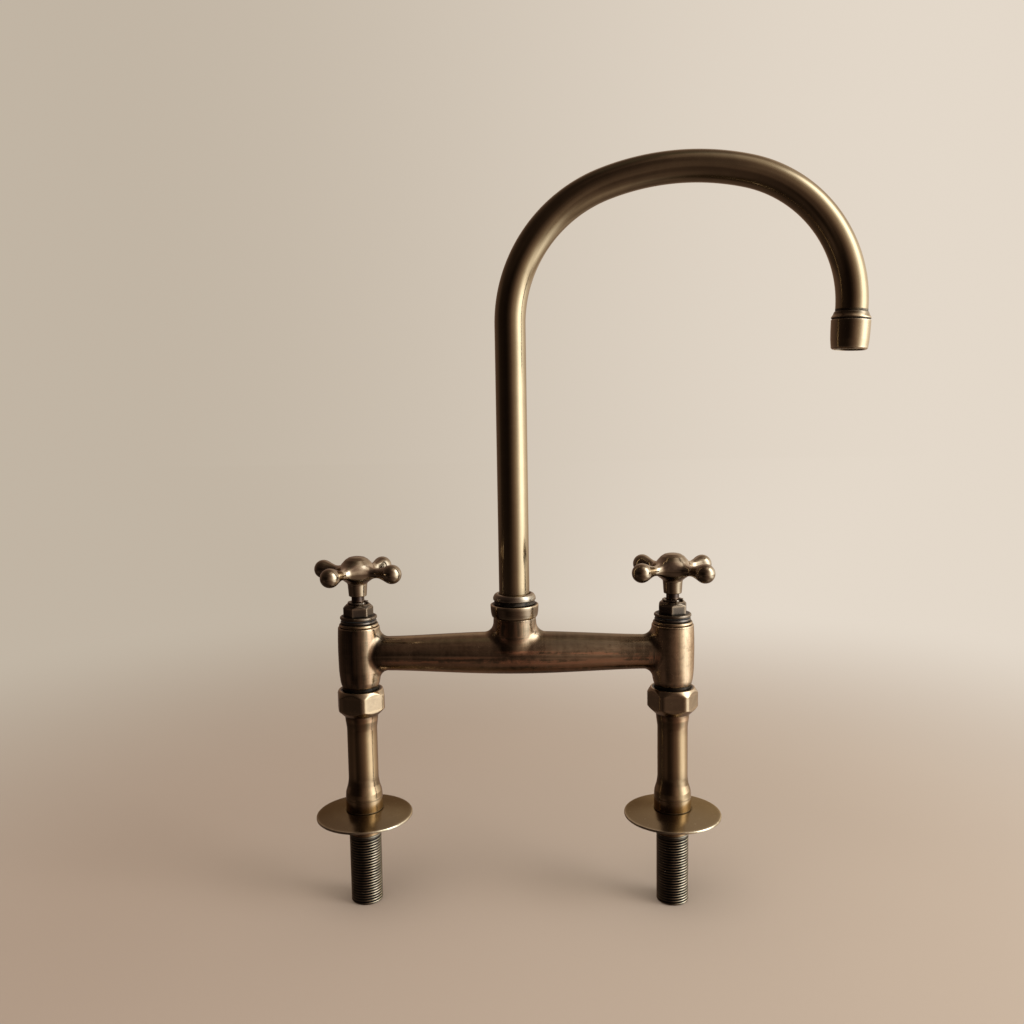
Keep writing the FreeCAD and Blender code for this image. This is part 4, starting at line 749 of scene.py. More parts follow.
# painted shade in the recess under the rounded ring and in the gap round the tube
lathe("spout_ferrule_visual", [
    (8.0, 118.3, 0.2), (10.6, 118.3, 0.2), (11.05, 118.8, 0.2), (11.05, 141.9, 0.1), (13.4, 141.9, 0.15),
    (13.1, 142.1, 0.2), (13.1, 143.9, 0.3), (13.75, 144.4, 0.5),
    (13.75, 145.9, 1.6), (12.7, 147.9, 1.8), (11.1, 148.5, 0.8), (10.35, 148.1, 0.3), (9.85, 147.6, 0.1),
    (9.85, 141.5, 0.1), (8.0, 141.5, 0.1)],
    (0, 0, 0), M_CAP, "spout", ("spout_ferrule",), seg=144, fine=0.18,
    dirt_and_gap_shade=lambda r, z: np.maximum(np.interp(z, [141.0, 144.0, 144.6], [1.0, 1.0, 0.0]) * (r > 12.0),
                                  np.clip((10.7 - r) / 0.35, 0, 1) * (z > 147.0)))

# the spout's centreline: riser and three bends
RISE, FOOT = 318.5, 141.5
BENDS = ((90.0, 70.0), (158.0, 32.5), (82.0, 80.0))
path, tang, arc_s = [], [], []
s_run = 0.0
count = int((RISE - FOOT) / 3.0)
for k in range(count + 1):
    path.append((0.0, FOOT + (RISE - FOOT) * k / count))
    tang.append(math.pi / 2)
    arc_s.append((RISE - FOOT) * k / count)
s_run = RISE - FOOT
x, z, head = 0.0, RISE, math.pi / 2
for R, deg in BENDS:
    span = math.radians(deg)
    cx, cz = x + R * math.sin(head), z - R * math.cos(head)
    a0 = math.atan2(z - cz, x - cx)
    steps = int(R * span / 2.2)
    for k in range(1, steps + 1):
        a = a0 - span * k / steps
        path.append((cx + R * math.cos(a), cz + R * math.sin(a)))
        tang.append(head - span * k / steps)
        arc_s.append(s_run + R * span * k / steps)
    x, z = path[-1]
    head -= span
    s_run += R * span
OUT_X, OUT_Z, LEAN = x, z, -90.0 - math.degrees(head)
for run in (0.6, 1.0, 1.4, 2.5, 5.5, 8.6):
    path.append((x + run * math.cos(head), z + run * math.sin(head)))
    tang.append(head)
    arc_s.append(s_run + run)
path, tang, arc_s = np.array(path), np.array(tang), np.array(arc_s)


def tube(name, outer, inner, mat, body, replaces, seg=96):
    n = len(path)
    th = np.arange(seg) * 2 * math.pi / seg
    rings = []
    for r in (outer, inner):
        nx, nz = np.sin(tang), -np.cos(tang)      # in-plane normal, outward of the bend's left side
        px = path[:, 0, None] + r * np.cos(th)[None, :] * nx[:, None]
        pz = path[:, 1, None] + r * np.cos(th)[None, :] * nz[:, None]
        py = np.repeat((r * np.sin(th))[None, :], n, 0)
        rings.append(np.stack([px, py, pz], -1))
    outer_v, inner_v = rings
    verts = np.concatenate([outer_v.reshape(-1, 3), inner_v.reshape(-1, 3)])
    grain = np.zeros((2, n, seg, 3))
    for q, r in enumerate((outer, inner)):
        grain[q, :, :, 0] = r * np.cos(th)
        grain[q, :, :, 1] = r * np.sin(th)
        grain[q, :, :, 2] = arc_s[:, None]
    base = n * seg
    quads = []
    j = np.arange(seg)
    j2 = (j + 1) % seg
    for i in range(n - 1):
        quads.append(np.stack([i * seg + j, i * seg + j2, (i + 1) * seg + j2, (i + 1) * seg + j], 1))
        quads.append(np.stack([base + i * seg + j, base + (i + 1) * seg + j,
                               base + (i + 1) * seg + j2, base + i * seg + j2], 1))
    for i in (0, n - 1):
        quads.append(np.stack([i * seg + j, base + i * seg + j, base + i * seg + j2, i * seg + j2], 1))
    quads = np.concatenate(quads)
    zero = np.zeros(len(verts))
    g = zero.copy()
    s_all = np.concatenate([np.repeat(arc_s, seg)] * 2)
    # painted shade at the joint with the ferrule and in a band above the outlet collar
    g = np.maximum(g, np.exp(-np.abs(s_all - 7.0) / 1.2))
    g = np.maximum(g, np.clip((s_all - (arc_s[-1] - 7.75)) / 0.5, 0, 1))
    # painted shade over the middle of the arch
    dark = np.interp(s_all, [190, 240, 300, 350, 395, 430], [0.0, 0.30, 0.58, 0.58, 0.34, 0.0])
    return make_object(name, verts, quads, {"wear_and_highlight": zero, "grime_and_gap_shade": g * 0.9, "shade": dark, "grain": grain.reshape(-1, 3) * MM},
                       mat, body, replaces)


tube("spout_tube_visual", 9.8, 8.3, M_SPOUT, "spout", ("spout_tube",))

lean_r = math.radians(LEAN)


def on_outlet(drop):
    return (OUT_X - drop * math.sin(lean_r), 0.0, OUT_Z - drop * math.cos(lean_r))


# painted shade in the groove below the collar, above its lip and over the top of its cone
lathe("outlet_collar_visual", [
    (8.3, 0.0, 0.2), (10.1, 0.0, 0.2), (10.55, 0.5, 0.2), (10.55, 6.2, 0.1), (11.7, 6.2, 0.12),
    (11.9, 6.45, 0.2), (11.9, 7.05, 0.4), (10.9, 8.6, 2.2), (10.3, 10.35, 0.7, 0.5), (9.85, 10.6, 0.15, 0.4),
    (9.85, 4.5, 0.1), (8.3, 4.5, 0.1)],
    on_outlet(13.1), M_OUTLET, "spout", ("outlet_collar",), seg=144, fine=0.16, lean=LEAN,
    dirt_and_gap_shade=lambda r, z: np.maximum(np.clip((6.6 - z) / 0.15, 0, 1), np.clip((10.5 - r) / 0.4, 0, 1) * (z > 9.6)),
    shade=bands((7.6, 0.0), (8.6, 0.25), (9.4, 0.85), (10.6, 1.0)))
# painted shade in the groove at its top, on its bottom edge and just below the groove
lathe("aerator_housing_visual", [
    (9.2, 0.0, 0.25), (10.1, 0.0, 0.6), (11.0, 0.9, 0.8), (11.6, 6.3, 12.0), (11.8, 11.0, 12.0),
    (11.9, 18.05, 0.25), (11.3, 18.35, 0.1), (11.3, 18.85, 0.1), (10.7, 18.85, 0.1), (10.7, 1.2, 0.1), (9.2, 1.2, 0.1)],
    on_outlet(25.8), M_OUTLET, "spout", ("aerator_housing",), seg=144, fine=0.16, lean=LEAN,
    dirt_and_gap_shade=bands((18.05, 0.0), (18.2, 1.0)), shade=bands((0.6, 0.5), (1.6, 0.1), (3.2, 0.0), (17.3, 0.0), (18.0, 0.4)))

# --------------------------------------------------------------------------
# cross handles
# --------------------------------------------------------------------------
HUB = [(0, 158.4), (6.3, 158.4), (8.7, 160.7), (9.25, 163.2), (9.15, 165.4), (8.45, 167.8), (6.7, 170.5),
       (4.7, 171.9), (2.4, 172.4), (0, 172.45)]
SKIRT = [(0, 147.65), (5.45, 147.65), (5.65, 150.0), (6.0, 155.0), (6.8, 158.0), (7.1, 160.5), (0, 160.5)]
ARM_Z = 163.2
REACH = 27.5


def arm_radius(t):
    """radius of an arm along its axis"""
    ts = np.array([0.0, 4.0, 8.0, 11.0, 13.0, 15.5, 18.0, 21.3, 24.3, 27.5])
    rs = np.array([7.2, 6.6, 5.4, 4.3, 3.6, 3.12, 3.25, 4.3, 5.40, 5.95])
    return np.interp(t, ts, rs)


ARM_T = np.linspace(0, REACH, 111)
ARM_R = arm_radius(ARM_T)
kern = np.exp(-0.5 * (np.arange(-8, 9) / 3.0) ** 2)
kern /= kern.sum()
ARM_R = np.convolve(np.pad(ARM_R, 8, mode="edge"), kern, mode="valid")


def handle_field(X, Y, Z):
    """hub, skirt and four arms along the diagonals, in the handle's own frame"""
    r = np.sqrt(X * X + Y * Y)
    hub = poly_sdf(r, Z, HUB) - 0.7
    skirt = poly_sdf(r, Z, SKIRT) - 0.3
    c = math.sqrt(0.5)
    U = c * (X + Y)
    W = c * (Y - X)
    zz = Z - ARM_Z

    def pair_of_arms(along, across):
        u = np.abs(along)
        wide = np.interp(u, [0.0, 6.0, 11.0, 16.0], [1.25, 1.30, 1.22, 1.0])
        q = np.sqrt((across / wide) ** 2 + zz * zz)
        arm = (q - np.interp(u, ARM_T, ARM_R)) * 0.93
        arm = np.where(u > REACH, np.sqrt((u - REACH) ** 2 + q * q) - 5.85, arm)
        return smin(arm, np.sqrt((u - REACH) ** 2 + q * q) - 6.02, 0.8)

    arm = smin(pair_of_arms(U, W), pair_of_arms(W, U), 3.4)
    body = smin(hub, arm, 3.4)
    body = smin(body, skirt, 0.9)
    bore = np.maximum(r - 4.3, Z - 161.0)
    body = round_cut(body, bore, 0.25)
    # screw hole along +Y
    hole = np.maximum(np.sqrt(X * X + (Z - 150.6) ** 2) - 2.05, -Y)
    return round_cut(body, hole, 0.15)


hv, hf, hcurv = surface(handle_field, (-35.5, -35.5, 145.5), (35.5, 35.5, 175.0), 0.58, passes=5)
h_wear_and_highlight = np.clip((soften(hcurv, hf, 5) - 1.5) / 1.6, 0, 1)
h_grime = soften(np.clip((-hcurv - 0.42) / 0.9, 0, 1), hf, 2)
# painted shade at the hub's foot and low on the knobs, and a painted highlight band round the hub and the inner arms
h_r = np.sqrt(hv[:, 0] ** 2 + hv[:, 1] ** 2)
h_shade = np.clip((160.6 - hv[:, 2]) / 2.4, 0, 1) * np.clip((hv[:, 2] - 155.8) / 1.4, 0, 1) * 0.75
h_shade = np.maximum(h_shade, np.clip((162.4 - hv[:, 2]) / 4.0, 0, 1) * (h_r > 17.0) * 0.55)
h_painted_highlight = np.clip((hv[:, 2] - 162.8) / 1.8, 0, 1) * np.clip((170.0 - hv[:, 2]) / 2.6, 0, 1) * np.interp(
    h_r, [4.0, 7.5, 15.0, 19.0], [0.0, 0.9, 0.8, 0.0])
h_wear_and_highlight = np.maximum(h_wear_and_highlight, h_painted_highlight)
for side, sx, turn in (("left", -1, TURN["left"]), ("right", 1, TURN["right"])):
    c, s = math.cos(math.radians(turn)), math.sin(math.radians(turn))
    rot = np.array([[c, -s, 0], [s, c, 0], [0, 0, 1]])
    verts = hv @ rot.T + np.array([sx * VX, 0, 0])
    make_object(side + "_handle_visual", verts, hf, {"wear_and_highlight": h_wear_and_highlight, "grime_and_gap_shade": h_grime, "shade": h_shade,
                                              "grain": hv * MM},
                M_HANDLE, side + "_handle", (side + "_handle",))

# --------------------------------------------------------------------------
# bridge casting
# --------------------------------------------------------------------------
BEAM_X = np.array([0.0, 22.0, 32.5, 43.0, 53.0, 63.5, 74.0, 85.0, 110.0])
BEAM_R = np.array([13.85, 13.5, 13.05, 12.6, 12.15, 11.65, 11.2, 11.05, 10.9])
bx = np.linspace(0, 110, 221)
br = np.interp(bx, BEAM_X, BEAM_R)
br = np.convolve(np.pad(br, 24, mode="reflect"), np.ones(49) / 49, mode="valid")
VALVE = [(0, 88.9), (11.65, 88.9), (12.3, 91.5), (12.75, 95.0), (13.05, 99.0), (13.2, 105.0),
         (13.3, 112.0), (13.22, 119.0), (13.05, 124.0), (12.9, 126.95), (0, 126.95)]
SPIGOT = [(0, 78.8), (11.3, 78.8), (11.3, 90.0), (0, 90.0)]
NECK = [(0, 112.0), (13.4, 112.0), (13.75, 122.0), (13.6, 127.0), (13.3, 132.4), (0, 132.4)]
STUB = [(0, 130.0), (12.7, 130.0), (12.7, 137.7), (0, 137.7)]


def blend_radius(r, Y, rho, rad):
    """fillet radius that shrinks as two round surfaces come to lie flush"""
    c = np.clip(Y * Y / np.maximum(rho * rad, 1e-6), 0, 1)
    return np.maximum(r * (1 - np.sqrt((1 + c) / 2)) / 0.2929, 0.9)


def bridge_field(X, Y, Z):
    ax = np.abs(X)
    zz = Z - 109.3
    beam = np.sqrt(Y * Y + zz * zz) - np.interp(ax, bx, br)
    beam = np.maximum(beam, ax - VX)
    rv = np.sqrt((ax - VX) ** 2 + Y * Y)
    valve = poly_sdf(rv, Z, VALVE) - 0.55
    rho = np.sqrt(Y * Y + zz * zz)
    out = np.clip((ax - 96.0) / 5.0, 0, 1)
    fade = 1.0 - out * out * (3 - 2 * out)
    body = round_union(beam, valve, blend_radius(5.8, Y, rho, rv) * fade + 0.001)
    r0 = np.sqrt(X * X + Y * Y)
    neck = poly_sdf(r0, Z, NECK) - 0.4
    body = round_union(body, neck, np.maximum(blend_radius(6.2, Y, rho, r0), 2.2))
    body = np.minimum(body, poly_sdf(rv, Z, SPIGOT) - 0.4)
    body = np.minimum(body, poly_sdf(r0, Z, STUB) - 0.3)
    bores = np.minimum(np.maximum(rv - 10.6, 101.5 - Z), rv - 6.0)
    bores = np.minimum(bores, np.maximum(np.sqrt(Y * Y + zz * zz) - 5.5, ax - VX))
    bores = np.minimum(bores, np.maximum(r0 - 11.1, 118.0 - Z))
    bores = np.minimum(bores, np.maximum(r0 - 8.0, 109.3 - Z))
    return np.maximum(body, -bores)


bv, bf, bcurv = surface(bridge_field, (-117.0, -16.5, 77.0), (117.0, 16.5, 139.6), 0.78, passes=4)
b_wear_and_highlight = np.clip((bcurv - 0.55) / 1.3, 0, 1)
b_grime_and_gap_shade = np.clip((-bcurv - 0.32) / 1.0, 0, 1) * 0.8
b_ax = np.abs(bv[:, 0])
b_rv = np.sqrt((b_ax - VX) ** 2 + bv[:, 1] ** 2)
b_r0 = np.sqrt(bv[:, 0] ** 2 + bv[:, 1] ** 2)
b_zz = bv[:, 2] - 109.3
b_off = VX - np.sqrt(np.maximum(13.95 ** 2 - bv[:, 1] ** 2, 0)) - b_ax      # run of the tube outside the body
on_tube = (b_rv > 14.3) & (np.abs(b_zz) < 14.5)
# painted shade on the tube where it enters the valve bodies
near = np.clip((b_off - 0.7) / 0.8, 0, 1) * np.exp(-np.maximum(b_off - 2.6, 0) / 4.0) * (b_rv > 13.6) * (
    np.abs(b_zz) < 16.0)
b_shade = np.where(bv[:, 0] < 0, 0.95, 0.85) * near
# painted shade round the foot of the neck, stronger on its left
neck_foot_shade = np.exp(-np.maximum(b_r0 - 15.2, 0) / 4.5) * np.clip((b_r0 - 14.2) / 0.8, 0, 1) * np.clip((b_zz + 4) / 4, 0, 1)
b_shade = np.maximum(b_shade, np.where(bv[:, 0] < 0, 0.75, 0.45) * neck_foot_shade)
# painted shade: the left valve body darker, the left side of the neck darker, and the tube darker on top
b_shade = np.maximum(b_shade, np.interp(bv[:, 0] + VX, [-13, -2, 1, 4, 6, 8], [0.36, 0.60, 0.80, 0.70, 0.28, 0.0])
                     * (bv[:, 0] < -80) * np.clip((1.3 - b_off) / 0.8, 0, 1))
b_shade = np.maximum(b_shade, np.interp(bv[:, 0], [-13, -9, -4, 1, 5, 9], [0.3, 0.1, 0.62, 0.62, 0.15, 0.2])
                     * (b_r0 < 16) * np.clip((b_zz - 6) / 5, 0, 1))
b_shade = np.maximum(b_shade, np.clip((b_zz - 7.0) / 4.0, 0, 1) * 0.22 * on_tube)
# a duller finish on the right half of the tube and on the right valve body
b_matt = np.interp(bv[:, 0], [0, 25, 60, 80, 88, 92], [0.0, 0.5, 0.5, 0.3, 0.15, 0.15])
# painted highlight band along the middle of the right half of the tube, and painted highlight on the left half of the
# tube and on the right valve body
b_painted_highlight = np.interp(bv[:, 0], [-5, 22, 65, 78], [0.0, 0.85, 0.85, 0.1]) * on_tube * np.clip((b_zz + 8) / 6, 0, 1)
b_wear_and_highlight = np.maximum(b_wear_and_highlight, b_painted_highlight * np.interp(b_zz, [-6, -3, 1, 5, 9, 11.5], [0.35, 1.0, 0.95, 0.6, 0.35, 0.0]))
b_wear_and_highlight = np.maximum(b_wear_and_highlight, 0.5 * np.interp(bv[:, 0], [-86, -70, -16, -4], [0.0, 1.0, 1.0, 0.0]) * on_tube)
b_wear_and_highlight = np.maximum(b_wear_and_highlight, 0.55 * (bv[:, 0] > 80) * (b_off < 0.5) * (bv[:, 2] > 90.5) * (bv[:, 2] < 126.0))
# painted shade along the underside of the tube and in a band high on the tube to the right of the neck
b_shade = np.maximum(b_shade, np.clip((-7.5 - b_zz) / 4.0, 0, 1) * np.interp(bv[:, 0], [-20, 10], [0.25, 0.8]) * on_tube)
b_shade = np.maximum(b_shade, np.interp(b_zz, [4.5, 7.5, 9.5, 11.0], [0.0, 0.45, 0.45, 0.1]) * (bv[:, 0] > 12) * on_tube)
b_wear_and_highlight = b_wear_and_highlight * (1 - 0.9 * np.clip(b_shade, 0, 1))
# painted highlight along the edge where the tube leaves the left valve body, and at the neck's right foot
b_edge_highlight = np.exp(-(b_off / 0.8) ** 2) * np.interp(b_zz, [-9, -2, 4, 9, 12], [0.1, 0.35, 1.0, 1.0, 0.0])
b_wear_and_highlight = np.maximum(b_wear_and_highlight, b_edge_highlight * (bv[:, 0] < 0) * np.clip((b_rv - 14.15) / 0.4, 0, 1) * np.clip((15.6 - b_rv) / 0.5, 0, 1))
b_wear_and_highlight = np.maximum(b_wear_and_highlight, 0.7 * np.exp(-((bv[:, 0] - 12.0) / 3.0) ** 2) * np.exp(-((b_zz - 11.0) / 3.0) ** 2))
# painted shade in the gaps above and below the valve bodies, and under the collar
in_valve = b_rv < 15.0
b_shade = np.maximum(b_shade, np.clip((89.6 - bv[:, 2]) / 1.4, 0, 1) * in_valve)
b_grime_and_gap_shade = np.maximum(b_grime_and_gap_shade, np.clip((88.6 - bv[:, 2]) / 0.4, 0, 1) * in_valve)
b_grime_and_gap_shade = np.maximum(b_grime_and_gap_shade, np.clip((12.5 - b_rv) / 0.35, 0, 1) * (bv[:, 2] > 126.8) * in_valve)
b_shade = np.maximum(b_shade, np.clip((bv[:, 2] - 130.3) / 2.2, 0, 1) * 0.85 * (b_r0 < 16))
# painted warm reflection on the underside of the tube and in streaks along it, and copper tone in places on the valve
# bodies and the neck
b_copper_and_reflection = np.clip((-b_zz - 1.0) / 6.0, 0, 1) * np.interp(bv[:, 0], [-90, -20, 15, 80], [0.35, 0.45, 0.55, 0.55]) * on_tube
b_reflection_line = np.exp(-((b_zz - 3.0 + 0.02 * bv[:, 0]) / 0.9) ** 2) * on_tube * np.interp(
    bv[:, 0], [-14, 4, 66, 84], [0.0, 1.0, 1.0, 0.1])
b_reflection_band = np.exp(-((b_zz + 2.6 + 0.5 * np.sin(bv[:, 0] / 19.0)) / 1.7) ** 2) * on_tube * np.interp(
    bv[:, 0], [-88, -64, 20, 84], [0.0, 1.0, 1.0, 0.6])
b_copper_and_reflection = np.maximum(b_copper_and_reflection, np.maximum(3.0 * b_reflection_line, 2.2 * b_reflection_band))
# painted shade in a dark band between the reflection streaks
b_reflection_gap_shade = 0.8 * np.exp(-((b_zz - 0.6 + 0.02 * bv[:, 0]) / 0.8) ** 2) * on_tube * np.interp(
    bv[:, 0], [-60, -10, 60, 80], [0.3, 1.0, 0.8, 0.2])
b_shade = np.maximum(b_shade, b_reflection_gap_shade)
b_wear_and_highlight = b_wear_and_highlight * (1 - 0.85 * np.maximum(b_reflection_line, np.maximum(0.8 * b_reflection_band, b_reflection_gap_shade)))
b_copper_and_reflection = np.maximum(b_copper_and_reflection, 0.12 * (b_rv <= 14.3))
b_copper_and_reflection = np.maximum(b_copper_and_reflection, np.interp(bv[:, 0], [-10, -8, -5, -3, 4, 9], [0.1, 1.3, 1.3, 0.2, 0.3, 0.1])
                      * (b_r0 < 16) * np.clip((b_zz - 8) / 4, 0, 1))
# grain: along X on the tube, along Z on the valve bodies and the neck
w_valve = 1.0 / (1.0 + np.exp(-(np.abs(bv[:, 0]) - 86.0) / 1.2))
w_neck = 1.0 / (1.0 + np.exp(-(bv[:, 2] - 122.5) / 0.8)) * (np.abs(bv[:, 0]) < 40)
w_up = np.maximum(w_valve, w_neck)
g_beam = np.stack([bv[:, 1], bv[:, 2], bv[:, 0] * 0.3], 1)
g_up = np.stack([np.where(np.abs(bv[:, 0]) > 40, np.abs(bv[:, 0]) - VX, bv[:, 0]), bv[:, 1], bv[:, 2]], 1)
grain = np.where(w_up[:, None] > 0.5, g_up, g_beam)
make_object("bridge_body_visual", bv, bf, {"wear_and_highlight": b_wear_and_highlight, "grime_and_gap_shade": b_grime_and_gap_shade, "grain": grain * MM, "shade": b_shade,
                                          "copper": b_copper_and_reflection, "matt": b_matt},
            M_BRIDGE, "fixed_frame", ("bridge_body",))

# --------------------------------------------------------------------------
# camera, floor and light
# --------------------------------------------------------------------------
C = Vector((20.6, -604.02, 261.95)) * MM
pitch, yaw, roll = math.radians(5.78), math.radians(-2.014), math.radians(-0.924)
F = Vector((math.sin(yaw) * math.cos(pitch), math.cos(yaw) * math.cos(pitch), -math.sin(pitch)))
right = Vector((math.cos(yaw), -math.sin(yaw), 0))
up = right.cross(F)
r2 = right * math.cos(roll) + up * math.sin(roll)
u3 = -right * math.sin(roll) + up * math.cos(roll)
cam_data = bpy.data.cameras.new("camera")
cam_data.sensor_width = 36.0
cam_data.lens = 950.0 / 1024.0 * 36.0
cam_data.clip_start, cam_data.clip_end = 0.01, 50.0
cam = bpy.data.objects.new("camera", cam_data)
scene.collection.objects.link(cam)
cam.matrix_world = Matrix(((r2.x, u3.x, -F.x, C.x), (r2.y, u3.y, -F.y, C.y), (r2.z, u3.z, -F.z, C.z),
                           (0, 0, 0, 1)))
scene.camera = cam

floor_mesh = bpy.data.meshes.new("floor")
floor_mesh.from_pydata([(-6, -6, -0.058), (6, -6, -0.058), (6, 6, -0.058), (-6, 6, -0.058)], [], [(0, 1, 2, 3)])
fs = Shader("pale_floor")
fn = fs.noise(fs.pos, 3.0, 2.0, 0.5)
fx = fs.add("ShaderNodeSeparateXYZ")
fs.link(fs.pos, fx.inputs[0])
# painted light on the floor: darker on the left, lighter on the right
across = fs.span(fx.outputs[0], -0.35, 0.45)
floor_tone = fs.mix(fs.span(fn, 0.3, 0.7), (0.97, 0.97, 0.97), (1.0, 1.0, 1.0))
floor_tone = fs.mix(1.0, floor_tone, fs.mix(across, (0.375, 0.288, 0.226), (0.485, 0.395, 0.320)), "MULTIPLY")
fs.link(floor_tone, fs.bsdf.inputs["Base Color"])
fs.bsdf.inputs["Roughness"].default_value = 0.9
fs.bsdf.inputs["Specular IOR Level"].default_value = 0.1
# away from the object the floor turns into a glowing emission in the backdrop's painted colour
far = fs.add("ShaderNodeVectorMath", operation="LENGTH")
fs.link(fs.pos, far.inputs[0])
glow = fs.add("ShaderNodeEmission")
WALL_SHADED_LEFT, WALL_LIT_RIGHT = (0.535, 0.460, 0.370), (0.775, 0.690, 0.590)
# seen at the floor's rim, x runs from the left to the right of the picture
rim_dir = fs.add("ShaderNodeVectorMath", operation="NORMALIZE")
fs.link(fs.pos, rim_dir.inputs[0])
rim_x = fs.add("ShaderNodeSeparateXYZ")
fs.link(rim_dir.outputs[0], rim_x.inputs[0])
fs.link(fs.mix(fs.span(rim_x.outputs[0], -0.42, 0.40), WALL_SHADED_LEFT, WALL_LIT_RIGHT), glow.inputs[0])
join = fs.add("ShaderNodeMixShader")
fs.link(fs.span(far.outputs["Value"], 0.26, 1.0), join.inputs[0])
fs.link(fs.bsdf.outputs[0], join.inputs[1])
fs.link(glow.outputs[0], join.inputs[2])
fs.link(join.outputs[0], fs.out.inputs[0])
floor_mesh.materials.append(fs.mat)
floor = bpy.data.objects.new("floor", floor_mesh)
scene.collection.objects.link(floor)
floor.visible_glossy = False

world = bpy.data.worlds.new("studio")
scene.world = world
world.use_nodes = True
wt = world.node_tree
wt.nodes.clear()


def wn(kind, **props):
    node = wt.nodes.new(kind)
    for key, value in props.items():
        setattr(node, key, value)
    return node


def wmath(op, a, b=None, clamp=False):
    n = wn("ShaderNodeMath", operation=op, use_clamp=clamp)
    for sock, value in ((n.inputs[0], a), (n.inputs[1], b)):
        if isinstance(value, bpy.types.NodeSocket):
            wt.links.new(value, sock)
        elif value is not None:
            sock.default_value = value
    return n.outputs[0]


def wn_span(value, lo, hi):
    n = wn("ShaderNodeMapRange", interpolation_type="SMOOTHSTEP")
    wt.links.new(value, n.inputs[0])
    n.inputs[1].default_value, n.inputs[2].default_value = lo, hi
    return n.outputs[0]


def wramp(value, stops, interp="EASE"):
    n = wn("ShaderNodeValToRGB")
    n.color_ramp.interpolation = interp
    el = n.color_ramp.elements
    while len(el) > 1:
        el.remove(el[-1])
    el[0].position, el[0].color = stops[0][0], (*stops[0][1], 1)
    for p, c in stops[1:]:
        e = el.new(p)
        e.color = (*c, 1)
    wt.links.new(value, n.inputs[0])
    return n.outputs[0]


def wmix(fac, a, b):
    n = wn("ShaderNodeMix", data_type="RGBA")
    for sock, value in ((n.inputs[0], fac), (n.inputs[6], a), (n.inputs[7], b)):
        if isinstance(value, bpy.types.NodeSocket):
            wt.links.new(value, sock)
        elif isinstance(value, tuple):
            sock.default_value = (*value, 1)
        else:
            sock.default_value = value
    return n.outputs[2]


direction = wn("ShaderNodeTexCoord").outputs["Generated"]
sep = wn("ShaderNodeSeparateXYZ")
wt.links.new(direction, sep.inputs[0])
dx, dy, dz = sep.outputs
# azimuth: 0 towards the viewer's side (-Y), positive towards +X
azim = wmath("ARCTAN2", dx, wmath("MULTIPLY", dy, -1.0))
turn01 = wmath("ADD", wmath("DIVIDE", azim, 2 * math.pi), 0.5)


def az(deg):
    return deg / 360.0 + 0.5


def tint(stops):
    """stops of (azimuth, level); dark places lean to red, bright ones to white"""
    out = []
    for deg, v in stops:
        x = math.log10(max(v, 0.005))
        g = float(np.interp(x, [-0.7, -0.15, 0.2, 0.5], [0.68, 0.85, 0.98, 1.04]))
        b = float(np.interp(x, [-0.7, -0.15, 0.2, 0.5], [0.55, 0.72, 0.94, 1.08]))
        out.append((az(deg), (v, v * g, v * b)))
    return out


LEVEL = tint([(-180, 0.30), (-155, 0.20), (-130, 0.16), (-104, 0.10), (-88, 0.035), (-70, 0.022), (-57, 0.018),
              (-40, 0.013), (-24, 0.014), (-9, 0.045), (6, 0.15), (22, 0.38), (36, 0.75), (47, 1.45), (56, 2.5),
              (66, 3.9), (78, 4.4), (90, 3.3), (102, 2.1), (116, 1.5), (140, 0.95), (155, 0.75), (168, 0.58),
              (175, 0.50), (180, 0.30)])
LOW = tint([(-180, 0.22), (-150, 0.11), (-123, 0.06), (-97, 0.05), (-75, 0.06), (-58, 0.085), (-48, 0.055),
            (-38, 0.02), (-20, 0.025), (-7, 0.055), (5, 0.11), (15, 0.15), (28, 0.24), (40, 0.45), (50, 0.85),
            (60, 1.6), (72, 2.3), (85, 2.5), (97, 1.9), (110, 1.15), (137, 0.65), (160, 0.40), (180, 0.22)])
VALV = tint([(-180, 0.22), (-150, 0.11), (-123, 0.07), (-97, 0.04), (-75, 0.04), (-48, 0.03), (-34, 0.035),
             (-20, 0.065), (2, 0.14), (20, 0.28), (32, 0.58), (42, 1.15), (52, 1.8), (63, 2.3), (74, 2.0), (88, 1.2),
             (108, 0.75), (132, 0.6), (160, 0.40), (180, 0.22)])
DEEP = tint([(-180, 0.16), (-120, 0.06), (-60, 0.035), (-15, 0.07), (5, 0.13), (40, 0.28), (75, 0.6), (110, 0.45),
             (150, 0.26), (180, 0.16)])
MID = tint([(-180, 0.50), (-170, 0.42), (-158, 0.28), (-140, 0.16), (-100, 0.06), (-60, 0.035), (-30, 0.04), (-10, 0.065), (6, 0.12),
            (25, 0.30), (42, 0.8), (56, 2.5), (68, 5.0), (82, 5.6), (93, 3.2), (105, 1.5), (130, 0.75),
            (160, 0.62), (175, 0.54), (180, 0.50)])
HIGH = tint([(-180, 0.20), (-130, 0.13), (-90, 0.06), (-40, 0.055), (-8, 0.12), (6, 0.26), (30, 0.58),
             (60, 0.95), (80, 1.0), (100, 0.65), (140, 0.32), (180, 0.20)])


def lobe(lo, hi):
    """0 below the first elevation, 1 above the second"""
    n = wn("ShaderNodeMapRange", interpolation_type="SMOOTHSTEP")
    wt.links.new(elev01, n.inputs[0])
    n.inputs[1].default_value, n.inputs[2].default_value = 0.5 + lo / 180, 0.5 + hi / 180
    return n.outputs[0]


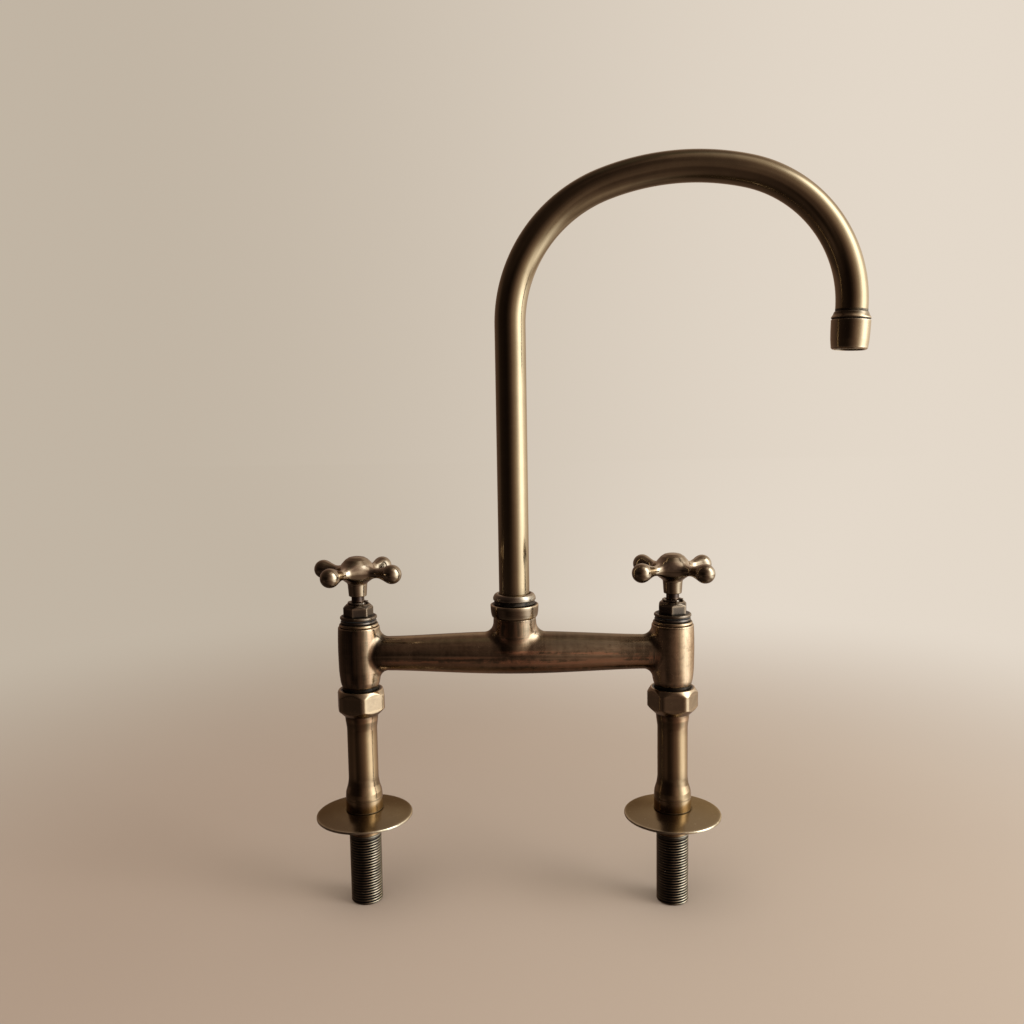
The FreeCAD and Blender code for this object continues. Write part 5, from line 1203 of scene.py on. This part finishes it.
elev = wmath("DIVIDE", wmath("ARCSINE", dz), math.pi)     # -0.5 .. 0.5
elev01 = wmath("ADD", elev, 0.5)
room = wmix(lobe(-23, -13), wramp(turn01, LOW, "LINEAR"), wramp(turn01, VALV, "LINEAR"))
room = wmix(lobe(-13, -4), room, wramp(turn01, LEVEL, "LINEAR"))
room = wmix(lobe(14, 30), room, wramp(turn01, MID, "LINEAR"))
room = wmix(lobe(44, 60), room, wramp(turn01, HIGH, "LINEAR"))
room = wmix(lobe(66, 86), room, (0.17, 0.14, 0.105))
room = wmix(lobe(-42, -24), wramp(turn01, DEEP, "LINEAR"), room)
room = wmix(lobe(-82, -62), (0.06, 0.04, 0.026), room)
lp = wn("ShaderNodeLightPath")
ambient = (0.66, 0.62, 0.56)
picked = wmix(lp.outputs["Is Diffuse Ray"], room, ambient)
# the backdrop seen by the camera is painted darker on the left and lighter on the right, as if lit from the right
lit_backdrop = wmix(wn_span(dx, -0.42, 0.40), WALL_SHADED_LEFT, WALL_LIT_RIGHT)
picked = wmix(lp.outputs["Is Camera Ray"], picked, lit_backdrop)
bg = wn("ShaderNodeBackground")
wt.links.new(picked, bg.inputs[0])
bg.inputs[1].default_value = 1.0
wo = wn("ShaderNodeOutputWorld")
wt.links.new(bg.outputs[0], wo.inputs[0])


def area(name, loc, target, size_x, size_y, power, color):
    data = bpy.data.lights.new(name, "AREA")
    data.shape = "RECTANGLE"
    data.size, data.size_y = size_x, size_y
    data.energy = power
    data.color = color
    ob = bpy.data.objects.new(name, data)
    ob.location = loc
    ob.rotation_euler = (Vector(target) - Vector(loc)).to_track_quat("-Z", "Y").to_euler()
    scene.collection.objects.link(ob)
    ob.visible_camera = False
    return ob


window = area("window_light", (1.15, -0.52, 0.50), (0.0, 0.0, 0.14), 0.62, 0.95, 7.5, (1.0, 0.95, 0.88))
window.visible_glossy = False
top = area("top_light", (-0.25, -0.55, 1.5), (0.0, 0.1, 0.0), 1.6, 1.6, 9.0, (1.0, 0.97, 0.93))
top.visible_glossy = False

scene.view_settings.view_transform = "Standard"
scene.view_settings.look = "None"
scene.view_settings.exposure = 0.0
scene.view_settings.gamma = 1.0
